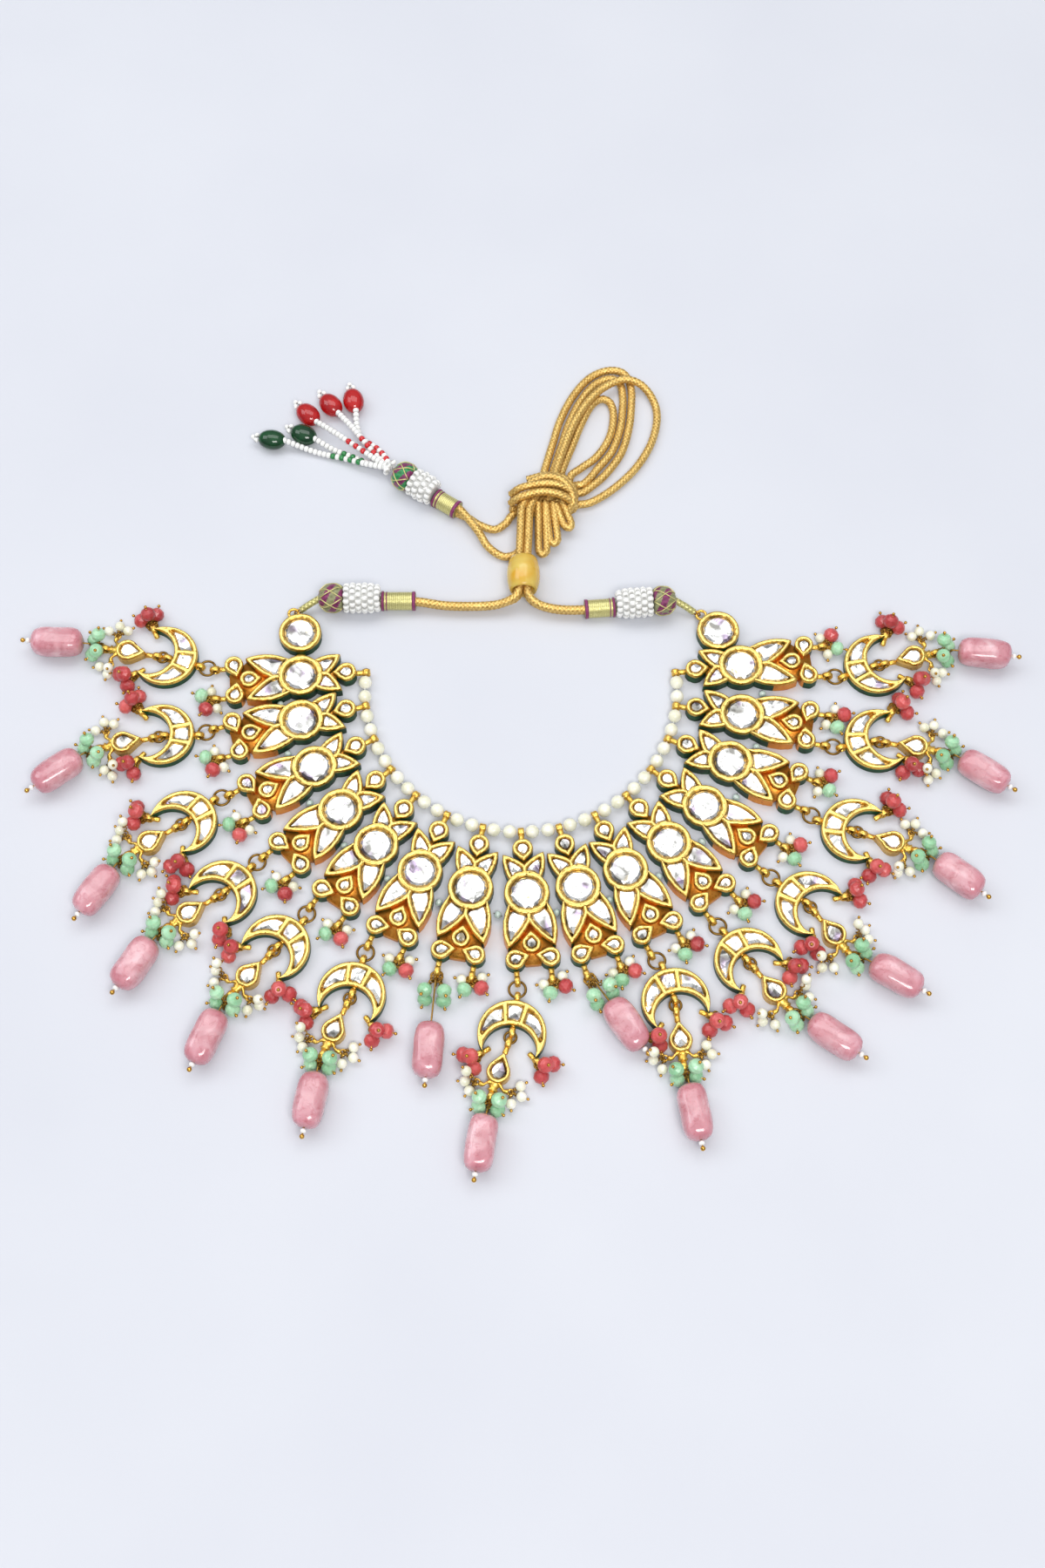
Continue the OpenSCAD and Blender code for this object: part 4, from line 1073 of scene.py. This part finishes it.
def ring_with_loops(wires, place, angle, r, wire, loops_angle, count, seed):
    """A ring in an eye, and a tangle of small wire loops on it."""
    middle = at(place, angle, r)
    wires.add(moved(loop(r, wire, 7), (*middle, RING_Z)), "wire")
    draw = random.Random(seed)
    for k in range(count):
        turn = loops_angle + 360 * k / count + 20 * draw.random()
        center = np.array((*middle, RING_Z)) + 1.1 * np.array((*unit(turn), 0.35 * (draw.random() - 0.2)))
        tilt = normalised((draw.random() - 0.5, draw.random() - 0.5, 0.8))
        center[2] = max(center[2], 1.3)
        wires.add(moved(loop(0.95, 0.25, 5, 14), center, level(turn + 90), tilt), "wire")


def make_bunches():
    """Coral at the horns, mixed beads at the other leaf of each lotus, mint round the pink beads."""
    draw = random.Random(7)
    coral, mint, leaf, wires = (Piece(n) for n in ("coral_beads", "mint_beads", "leaf_beads", "bunch_wires"))
    beads = {
        "coral": faceted_bead(CORAL_R, CORAL_R * 0.98),
        "mint": faceted_bead(MINT_R, MINT_R * 0.94),
        "pearl": ball(1.7, 16, 10),
    }

    def hang(piece, look, center, hub, r, bore, spread):
        """One bead on its pin; spread is how much smaller it may be."""
        along = pinned(wires, center, hub, bore)
        size = 1 - spread * draw.random()
        piece.add(moved(scaled(beads[look], (size, size, size)), center, along), look, draw.random())
        BEADS.append((*center, r))

    def bunch(piece, place, angle, fan, rows, seed):
        """Beads on a ring in an eye; each row is x, y, z, radius and material."""
        ring_with_loops(wires, place, angle, BUNCH_RING_R, 0.32, angle + fan, 5, seed)
        for x, y, z, r, look in rows:
            center = spot(place, angle + fan, x, y, z)
            hub = spot(place, angle + fan, 1.5, 0.3 * y, RING_Z + 0.1 * z)
            hang(piece, look, center, hub, r, r * 0.98, 0.05)

    full = [(4.1, -2.7, 2.6), (3.3, 0, 6.4), (4.1, 2.7, 2.6)]
    narrow = [(4.3, 0, 2.6), (2.4, 0, 6.9)]
    for i in HANGING:
        for side in (-1, 1):
            fan = CHAINS[i][FAN_L if side < 0 else FAN_R]
            rows = [(*bead, CORAL_R, "coral") for bead in (narrow if (i, side) in NARROW_BUNCHES else full)]
            opening = turned(i, OPENING)
            place = at(crescent_center(i), opening, HORN_EYE[0], side * HORN_EYE[1])
            bunch(coral, place, opening + side * HORN_ANGLE, side * (fan - HORN_ANGLE), rows, 20 * i + side)
    mixed = [
        (0.6, -3.2, 1.7, 1.7, "pearl"), (4.2, -2.6, 2.5, 2.5, "mint"),
        (4.2, 2.6, 2.6, 2.6, "coral"), (0.6, 3.2, 1.7, 1.7, "pearl"),
    ]
    for i in range(PIECES):
        bunch(leaf, at(tube_point(i), lotus_angle(i), *BAIL), turned(i, FAN_LEAF), 0, mixed, 500 + i)
    for i in range(PIECES):
        shift = 0 if CHAINS[i][HANGS] else 2 * RING_R + 0.6
        place, angle = bead_eye(i), turned(i, BEAD)
        ring_with_loops(wires, place, angle, MINT_RING_R, 0.33, angle, 6, 700 + i)
        for side in (-1, 1):
            for x, y, z in ((3.9, 2.9, 2.5), (1.9, 3, 6.1)):
                center = spot(place, angle, x + shift, side * y, z)
                hub = spot(place, angle, MINT_RING_R + 0.7, side, RING_Z)
                hang(mint, "mint", center, hub, MINT_R, MINT_R * 0.92, 0.06)
    coral.build("coral", "coral_bunches")
    mint.build("mint", "mint_bunches")
    leaf.build("mixed_beads", "leaf_bunches")
    return wires


def nugget(seed):
    """A tumbled bead: a long rounded block with soft, uneven sides, its bore along x."""
    sides, rows = 28, 22
    squareness = 2.6 + 0.5 * random.Random(seed).random()
    points = []
    for t in np.linspace(-0.985, 0.985, rows):
        swell = (1 - abs(t) ** 4.2) ** (1 / 2.9)
        for k in range(sides):
            turn = 2 * math.pi * (k + 0.5) / sides
            c, s = math.cos(turn), math.sin(turn)
            corner = (abs(c) ** squareness + abs(s) ** squareness) ** (-1 / squareness)
            radius = PINK_R * 0.9 * swell * corner
            points.append((t * PINK_LEN / 2, radius * c, radius * s * 0.9))
    tones = np.repeat(np.linspace(0, 1, rows), sides)
    return lumpy(shape(points, [face[::-1] for face in capped(rows, sides)], tones), 0.4, 7.5, seed)


def make_pinks(wires):
    """Pink beads, each on a pin that hooks into the ring above it and ends in a seed bead and a ball."""
    pieces = [Piece("pink_nuggets_left"), Piece("pink_nuggets_right")]
    for i in range(PIECES):
        place, angle, reach = bead_eye(i), turned(i, BEAD), CHAINS[i][REACH]
        along = level(angle)

        def on_axis(x, z=PINK_R):
            return spot(place, angle, x, 0, z)

        body = moved(nugget(30 + i), on_axis(reach), along)
        if body[0][:, 2].min() < 0:
            body[0][:, 2] = np.maximum(body[0][:, 2], 0.02)
        pieces[i > MIDDLE].add(body, "pink")
        BEADS.extend((*on_axis(reach + x), PINK_R * 0.95) for x in (-5.4, 0, 5.4))
        hook = 2 * MINT_RING_R
        tip = reach + PINK_LEN / 2
        wires.add(moved(loop(1.2, 0.28, 6, 18), on_axis(hook, RING_Z), along, level(angle + 90)), "wire")
        bends = [
            on_axis(hook + 0.4, RING_Z + 1.1), on_axis(hook + 1.2, 4.4),
            on_axis(hook + 2.6), on_axis(tip + 2.6),
        ]
        wires.add(tube(smooth(bends, 0.6), 0.28, 6), "wire")
        wires.add(moved(ball(0.95, 14, 9, 0.85), on_axis(tip + 0.8), along), "seed_white")
        wires.add(moved(ball(0.8, 12, 8), on_axis(tip + 2.5), along), "pin")
    for piece, side in zip(pieces, ("left", "right")):
        piece.build("pink", f"pink_beads_{side}")
    wires.build("wire", "pink_pins")


HIGHEST_COST = 6  # a pearl that costs more, mostly as it would sink into a bead, is left out


def make_arm_pearls():
    """Three small pearls from each arm of a drop, put where they keep clear of the other beads."""
    piece = Piece("drop_arm_pearls")
    pearl = ball(SMALL_PEARL_R, 16, 10)
    choices = [
        (nudge, reach, z)
        for nudge in (0, -12, 12, -24, 24, -36, 36)
        for reach in (3.6, 4.4, 5.2)
        for z in (1.75, 4.4, 6.6)
    ]
    for i in HANGING:
        for side in (-1, 1):
            hub = at(drop_center(i), turned(i, DROP), FOOT_ARM[0], side * FOOT_ARM[1])
            for lean in (20, 62, 104):
                taken = np.array(BEADS)
                options = []
                for nudge, reach, z in choices:
                    center = spot(hub, turned(i, DROP) + side * (lean + nudge), reach, 0, z)
                    gap = (np.linalg.norm(taken[:, :3] - center, axis=1) - taken[:, 3] - SMALL_PEARL_R).min()
                    cost = max(0, -gap) * 10 + 0.01 * abs(nudge) + 0.5 * (reach - 3.6) + 0.25 * (z - 1.75)
                    options.append((cost, center))
                cost, center = min(options, key=lambda option: option[0])
                if cost <= HIGHEST_COST:
                    along = pinned(piece, center, (*hub, RING_Z), 1.6, 0.5)
                    piece.add(moved(pearl, center, along), "pearl", 0.9)
                    BEADS.append((*center, SMALL_PEARL_R))
    piece.build("pearl")


SPACER_R, SPACER_Z, WIDEST_GAP = 1.25, 1.3, 9
NOTCH = (27.5, 8.3)  # a point on a lotus's side, along and across it


def make_spacers():
    """Pale glass beads that lie between neighbouring lotuses."""
    piece = Piece("spacer_beads")
    bead = ball(SPACER_R, 14, 8, 0.9)
    for i in range(PIECES - 1):
        a = spot(tube_point(i), lotus_angle(i), NOTCH[0], NOTCH[1], SPACER_Z)
        b = spot(tube_point(i + 1), lotus_angle(i + 1), NOTCH[0], -NOTCH[1], SPACER_Z)
        run = np.subtract(b, a)
        if np.linalg.norm(run) <= WIDEST_GAP:
            piece.add(moved(bead, np.add(a, b) / 2, run), "pale_glass", 0.8)
            piece.add(tube([a, b], 0.14, 5), "wire")
    piece.build("pearl")


# Cord furniture: slider, knot, wraps, sleeves of seed beads, thread beads and tassel

SLEEVE_R = 5.3
AXIS_Z = SLEEVE_R + 0.05
SEED_SECTION = [(-0.8, 0.5), (-0.66, 0.84), (-0.25, 1.06), (0.25, 1.06), (0.66, 0.84), (0.8, 0.5)]
# Tones fall to 0 at both bore ends, for painted shade where seeds meet.
SEED = lathe(SEED_SECTION, 12, (0.0, 0.5, 1, 1, 0.5, 0.0))
SEEDS_ROUND = 12  # seed beads round a sleeve
SEED_STEP = 1.62  # from seed to seed on a tassel string


SLIDER_AT = (1.1, 107.7, 5.6)
SLIDER_HALF, SLIDER_R, SLIDER_BORE_R = 5.95, 5.55, 3.9


def make_slider():
    """A barrel bead of amber glass with an open bore, round the four cords."""
    half, bore, sides = SLIDER_HALF, SLIDER_BORE_R, 40
    outside = [(half * t, SLIDER_R - 1.15 * abs(t) ** 2.4) for t in np.linspace(-1, 1, 21)]
    profile = [(-half, bore), *outside, (half, bore), (half, bore - 0.01), (-half, bore - 0.01)]
    points, faces, _ = lathe(profile, sides)
    faces = [face for face in faces if len(face) == 4]
    last = (len(profile) - 1) * sides
    faces += [(last + (j + 1) % sides, (j + 1) % sides, j, last + j) for j in range(sides)]
    piece = Piece("slider_amber")
    piece.add(moved(shape(points, faces, 0.8), SLIDER_AT, (0, 1, 0)), "amber")
    return piece.build("amber_glass", "slider_bead")


KNOT_ROUTES = [
    # two wraps round the core
    [
        (-3.4, 135.2, 5.4), (0.4, 136.4, 8.3), (7.5, 137.6, 9.4), (14, 136.6, 8.9), (18.2, 135, 5.6),
        (16.6, 134.8, 1.7), (8, 135.4, 1.35), (0.5, 135, 1.5), (-3.2, 134.8, 3.4),
    ],
    [
        (-3.2, 138.9, 5.2), (0.4, 139.9, 8.2), (7.6, 140.9, 9.3), (14, 140.4, 8.8), (18.3, 138.6, 5.4),
        (16.8, 138.6, 1.7), (8, 139, 1.35), (0.5, 138.8, 1.5), (-3.0, 138.4, 3.2),
    ],
    # two broad turns over the right side
    [
        (3, 143, 6.2), (8.5, 144.2, 8.3), (13.6, 143, 8.6),
        (17, 139.4, 7.8), (17.9, 135.4, 6.9), (16.2, 133, 4.4),
    ],
    [(2.4, 145.4, 4.4), (8.6, 146, 6.2), (14.6, 145, 6.2), (18, 141.6, 4.6), (18.4, 137, 3.2)],
    # strands through the core
    [(0.4, 132.3, 6.8), (1.8, 136, 6.4), (4.6, 141, 5), (7.6, 147, 1.6)],
    [(3.1, 132.3, 6.8), (4.6, 136, 6.6), (7, 141, 5.2), (10.5, 147, 1.6)],
    [(0.4, 132.3, 4), (2, 136, 3.9), (6, 141, 4.2), (11.8, 147, 4.5)],
    [(3.1, 132.3, 4), (6, 136, 3.8), (10, 141, 3), (13.4, 147, 1.6)],
    [(-3.4, 132.3, 1.6), (0, 136, 2), (6, 140, 3), (12, 142, 3), (19.3, 141.8, 1.6)],
    [(2, 132.3, 1.4), (7, 134.6, 3), (13, 136.4, 3), (19.5, 137.2, 1.6)],
    [(9, 138, 5.6), (13, 142, 4.4), (16.8, 147.1, 1.6)],
    [(8, 136, 5), (14, 142, 3.6), (19.3, 145, 1.6)],
]
# Start and tip of each short loop below the knot, and its height
BIGHTS = [(7.4, 132.9, 7.6, 117.8, 3.7), (10.2, 132.9, 11.4, 122, 3.7), (14.2, 132.9, 16.2, 128, 3.7)]


def make_knot():
    """Braided strands wound round each other, with three short loops below them."""
    piece = Piece("knot_braids")
    for route in KNOT_ROUTES:
        piece.add(braid(smooth(route, FINE)), "braid")
    for x0, y0, x1, y1, z in BIGHTS:
        length = math.hypot(x1 - x0, y1 - y0)
        angle = math.degrees(math.atan2(y1 - y0, x1 - x0))
        half = [
            (-length - 3, 1.2, 1.8), (-length, 1.25, 1.2), (-0.55 * length, 1.3, 0.3),
            (-1.2, 1.35, 0), (0.5, 0.9, 0),
        ]
        bends = [*half, (1.1, 0, 0), *((x, -y, dz) for x, y, dz in reversed(half))]
        route = [spot((x1, y1), angle, x, y, z + dz) for x, y, dz in bends]
        piece.add(braid(smooth(route, FINE), 1.14), "braid")
    return piece.build("dori", "knot")


# Start and direction of each dressed end, and the lengths of its wrap, sleeve and thread bead
ENDS = {
    "left": ((-34.6, 99.1), 180, 11.6, 12.2, 8.2),
    "right": ((21.3, 96), 4.5, 10.4, 12.2, 7.6),
    "tail": ((-21.1, 134), 146, 9.3, 9.4, 7),
}
WRAP_Z = 3.2
# Radii of a thread bead and of the gold thread round it, at shares of its length
BEAD_SHARES = (0, 0.06, 0.3, 0.7, 0.93, 1)
BEAD_RADII = (3.2, 4.3, 4.85, 4.5, 3.0, 1.6)
THREAD_RADII = (3.3, 4.35, 4.9, 4.55, 3.05, 1.7)


def wound_wrap(side, n, length):
    """Gold thread wound round the cords, with three purple bands."""
    piece = Piece(f"wound_wrap_{side}").go(ENDS[side][0], ENDS[side][1])
    rows = int(length / 0.22)
    profile, tones = [(0, 2.5)], [0.0]
    for k in range(rows):
        x = length * (k + 0.5) / rows
        # The tone follows the ridges of the thread: painted shade between turns, a painted highlight on them.
        ridge = abs(math.sin(math.pi * x / 0.66))
        profile.append((x, 2.84 + 0.26 * ridge))
        tones.append(0.15 + 0.85 * ridge)
    piece.put(lathe([*profile, (length, 2.5)], 28, [*tones, 0.0]), "gold_thread", WRAP_Z)
    for x, width, proud in ((0.7, 1.3, 0.12), (length - 1.9, 0.5, 0.1), (length - 0.6, 1.0, 0.22)):
        edge, shoulder = width / 2, (width / 2 - 0.1, 3.08 + proud)
        section = [(-edge, 2.6), (-shoulder[0], shoulder[1]), (0, 3.16 + proud), shoulder, (edge, 2.6)]
        start = spot(*ENDS[side][:2], x, 0, WRAP_Z)
        # Band tones: painted shade at its edges, a painted highlight along its middle.
        band = moved(lathe(section, 24, (0, 0.7, 1, 0.7, 0)), start, level(ENDS[side][1]))
        piece.add(lumpy(band, 0.08, 0.6, n), "purple")
    return piece.build("gold_thread", "cord_wraps")


def seed_sleeve(side, n, start, length):
    """Rows of seed beads sewn round a core, each row staggered against the next."""
    place, angle = ENDS[side][:2]
    piece = Piece(f"seed_sleeve_{side}").go(at(place, angle, start), angle)
    rows = max(4, round(length / 2.15))
    core = lathe([(0.2, 2.4), (0.4, 4.1), (length - 0.3, 4.1), (length - 0.1, 2.4)], 20)
    # The core takes a tone near 0: painted shade in the gaps between the seeds.
    piece.put(shape(core[0], core[1], 0.05), "seed_white", AXIS_Z)
    for row in range(rows):
        radius = 4.15 - (0.55 if row == 0 else 0.12 if row == rows - 1 else 0)
        for k in range(SEEDS_ROUND):
            turn = 2 * math.pi * (k + 0.5 * (row % 2)) / SEEDS_ROUND
            draw = random.Random(row * 50 + k + n)
            y, z = math.cos(turn), math.sin(turn)
            x = length * (row + 0.5) / rows + 0.16 * (draw.random() - 0.5)
            lean = 0.16 * (draw.random() - 0.5)
            size = 0.97 + 0.06 * draw.random()
            bead = scaled(SEED, (size, size, size))
            bead = moved(bead, (x, radius * y, radius * z), (lean, -z, y), (1, 0, 0))
            piece.put(bead, "seed_white", AXIS_Z)
    return piece.build("seed_white", "seed_sleeves")


def bound_bead(side, start, length):
    """A bead of two thread colours in slanting grooves, bound crosswise with gold thread."""
    place, angle = ENDS[side][:2]
    piece = Piece(f"bound_bead_{side}").go(at(place, angle, start), angle)
    profile = [(length * s, np.interp(s, BEAD_SHARES, BEAD_RADII)) for s in np.linspace(0, 1, 20)]
    points, faces, _ = lathe(profile, 32)
    turns = np.arctan2(points[:, 2], points[:, 1])
    groove = abs(np.sin(8 * turns + 0.9 * points[:, 0]))
    points[:, 1:] *= (0.95 + 0.05 * groove)[:, None]
    stripes = {"purple": [], "green_thread" if side == "tail" else "olive": []}
    for face in faces:
        turn = turns[list(face)].mean() + 0.45 * points[list(face), 0].mean()
        list(stripes.values())[1 - math.floor(turn / (math.pi / 3)) % 2].append(face)
    for look, stripe in stripes.items():
        # The tone follows the grooves: painted shade in them, painted light on the ridges between.
        piece.put(shape(points, stripe, 0.3 + 0.7 * groove), look, AXIS_Z)
    for k in range(6):
        for hand in (-1, 1):
            line = []
            for s in np.linspace(0.02, 0.96, 14):
                r = np.interp(s, BEAD_SHARES, THREAD_RADII)
                turn = math.pi / 3 * k + hand * 1.05 * s
                line.append((length * s, r * math.cos(turn), r * math.sin(turn)))
            piece.put(tube(line, 0.2, 5, tones=0.9), "gold_thread", AXIS_Z)
    return piece.build("purple_thread", "thread_beads")


def make_end_dress():
    """A wrap, a sleeve and a thread bead at each of the three ends."""
    dressed = []
    for n, (side, (_, _, wrap, sleeve, bead)) in enumerate(ENDS.items()):
        dressed.append([
            wound_wrap(side, n, wrap),
            seed_sleeve(side, n, wrap + 0.1, sleeve),
            bound_bead(side, wrap + sleeve + 0.2, bead),
        ])
    return dressed


def make_end_threads():
    """Twisted gold thread from a thread bead to a wire ring in the eye of an end setting."""
    made = []
    for side, (place, eye_angle, _) in zip(("left", "right"), END_SETTINGS):
        piece = Piece(f"end_thread_{side}")
        eye = at(place, eye_angle, END_EYE)
        origin, direction, *lengths = ENDS[side]
        bead = at(origin, direction, sum(lengths) + 0.4)
        along = normalised(bead - eye)
        upright = level(math.degrees(math.atan2(along[1], along[0])) + 90)
        piece.add(moved(loop(1.2, 0.28, 6, 20), (*(eye + 1.6 * along), RING_Z), (*along, 0), upright), "pin")
        start = np.array((*(eye + 2.6 * along), RING_Z + 0.2))
        stop = np.array((*(bead + 0.6 * along), AXIS_Z - 0.6))
        path = smooth([start, 0.6 * start + 0.4 * stop + (0, 0, 0.2), stop], 0.2)
        piece.add(braid(path, 1.02, 0.26, 3, 1.5, 16), "gold_thread")
        made.append(piece.build("gold_thread", "end_threads"))
    return made


TASSEL_HEAD = (-44.8, 150, 4.6)
TASSEL_ROWS = [
    # x, y, direction, bends, glass, first and last coloured seed
    (
        -57.9, 178.3, 103,
        [(-45.8, 154.4, 3.4), (-49.4, 159.6, 2), (-54.8, 164, 1.6), (-56.5, 169, 2.2)], "red", 3, 12,
    ),
    (-65.7, 176.5, 128, [(-48, 154.6, 2.6), (-53.2, 160.2, 4.4), (-57.8, 166.6, 4.2)], "red", 6, 11),
    (-73.4, 172.6, 133, [(-49.6, 153.6, 4.6), (-56.2, 158.6, 4.6), (-63.6, 164.4, 4.2)], "red", 7, 12),
    (-74.6, 164.4, 153, [(-51.6, 153.6, 1.6), (-57.4, 156.2, 1.6), (-64.2, 159, 2)], "green", 7, 12),
    (-85.4, 162.4, 171, [(-52, 152, 3.8), (-60.4, 155.4, 2), (-70.2, 158.2, 1.6)], "green", 7, 14),
]
OVAL_R, OVAL_LEN, OVAL_FLAT = 3.6, 9.5, 0.82


def make_tassel():
    """A cluster of seed beads, with five strings of them that end in oval glass drops."""
    piece = Piece("tassel_beaded")
    head = np.array(TASSEL_HEAD)
    draw = random.Random(11)
    for _ in range(9):
        place = head + [draw.uniform(-reach, reach) for reach in (1.6, 1.6, 1.5)]
        axis = normalised([draw.uniform(-1, 1) for _ in range(3)])
        piece.add(moved(SEED, place, axis, (0.3, 0.5, 0.8)), "seed_white")
    turns = np.linspace(0.12, math.pi - 0.12, 18)
    half = OVAL_LEN / 2
    oval = lathe([(-half * math.cos(t), OVAL_R * math.sin(t) ** 0.92) for t in turns], 28)
    bore = lathe([(0.3 - half, 0.42), (half - 0.3, 0.42)], 8)
    for x, y, angle, bends, glass_colour, first, last in TASSEL_ROWS:
        path = smooth([TASSEL_HEAD, *bends, spot((x, y), angle, 0.4 - half, 0, OVAL_R)], SEED_STEP)
        piece.add(tube(path, 0.22, 5), "seed_white")
        for k, (place, along) in enumerate(zip(path, np.gradient(path, axis=0))):
            tinted = first <= k <= last and (k - first) % 2 == 0
            place = (*place[:2], max(place[2], 1.12))
            piece.add(moved(SEED, place, along), f"seed_{glass_colour}" if tinted else "seed_white")
        along = level(angle)
        lying = moved(scaled(oval, (1, 1, OVAL_FLAT)), (x, y, OVAL_R * OVAL_FLAT + 0.05), along)
        piece.add(lying, f"{glass_colour}_glass", 0.8)
        piece.add(moved(bore, (x, y, OVAL_R + 0.05), along), f"seed_{glass_colour}", 1.0)
        for dx, dy, dz in ((0.7, -1.0, 0), (1.9, 0, 0.3), (0.7, 1.0, 0)):
            tip = spot((x, y), angle, half + dx, dy, OVAL_R * OVAL_FLAT + dz)
            piece.add(moved(scaled(SEED, (0.85,) * 3), tip, level(angle + 60 * dy)), "seed_white")
    piece.build("tassel_beads", "tassel")


make_lotuses()
for number, index in enumerate(HANGING):
    make_crescent(index, 200 + number)
make_drops()
make_pearls()
bunch_wires = make_bunches()
make_pinks(bunch_wires)
make_arm_pearls()
make_spacers()
slider = make_slider()
knot = make_knot()
left_dress, right_dress, tail_dress = make_end_dress()
left_thread, right_thread = make_end_threads()
make_tassel()

# The dressed lotuses carry the stones of these two nodes
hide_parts("centre_stones", "petal_stones")

# CAD nodes whose own shapes show, with materials of the scene
for name, look, slot in (("jump_rings", "wire", "wire"), ("pearl_thread", "seed_white", "thread")):
    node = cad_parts[name]
    node.data.materials.clear()
    node.data.materials.append(LOOKS[look])


# Floor and light

FLOOR_HALF = 20  # metres
FLOOR_Z = -0.0001  # metres, just below the necklace
corners = [(x * FLOOR_HALF, y * FLOOR_HALF, 0) for x, y in ((-1, -1), (1, -1), (1, 1), (-1, 1))]
floor_mesh = bpy.data.meshes.new("floor")
floor_mesh.from_pydata(corners, [], [(0, 1, 2, 3)])
floor_mesh.materials.append(LOOKS["floor"])
floor = bpy.data.objects.new("floor", floor_mesh)
floor.location.z = FLOOR_Z
scene.collection.objects.link(floor)


def area_light(name, location, target, size, power, colour):
    data = bpy.data.lights.new(name, "AREA")
    data.shape = "RECTANGLE"
    data.size, data.size_y = size
    data.energy = power
    data.color = colour
    light = bpy.data.objects.new(name, data)
    light.location = location
    light.rotation_euler = (Vector(target) - Vector(location)).to_track_quat("-Z", "Y").to_euler()
    scene.collection.objects.link(light)


area_light("key_light", (0.2, -0.8, 1.45), (0, 0.06, 0), (0.8, 0.5), 13.8, (1.0, 0.985, 0.96))
area_light("fill_light", (-1.1, 0.5, 1.2), (0, 0.03, 0), (0.8, 0.8), 5, (0.93, 0.96, 1.0))
area_light("overhead_light", (0, 0.62, 1.35), (0, 0.05, 0), (1.3, 0.8), 7, (0.98, 0.99, 1.0))

# World: pale overhead, darker towards the horizon
world = bpy.data.worlds.new("studio")
world.use_nodes = True
scene.world = world
nodes, links = world.node_tree.nodes, world.node_tree.links
backdrop = nodes["Background"]
direction = nodes.new("ShaderNodeTexCoord")
split = nodes.new("ShaderNodeSeparateXYZ")
shade = nodes.new("ShaderNodeValToRGB")
links.new(direction.outputs["Generated"], split.inputs[0])
links.new(split.outputs["Z"], shade.inputs["Fac"])
links.new(shade.outputs["Color"], backdrop.inputs["Color"])
stops = [
    (0.0, (0.30, 0.31, 0.34)), (0.35, (0.42, 0.43, 0.47)),
    (0.7, (0.75, 0.77, 0.82)), (1.0, (0.95, 0.97, 1.0)),
]
elements = shade.color_ramp.elements
while len(elements) < len(stops):
    elements.new(0.5)
for element, (position, colour) in zip(elements, stops):
    element.position = position
    element.color = (*colour, 1)
backdrop.inputs["Strength"].default_value = 0.74
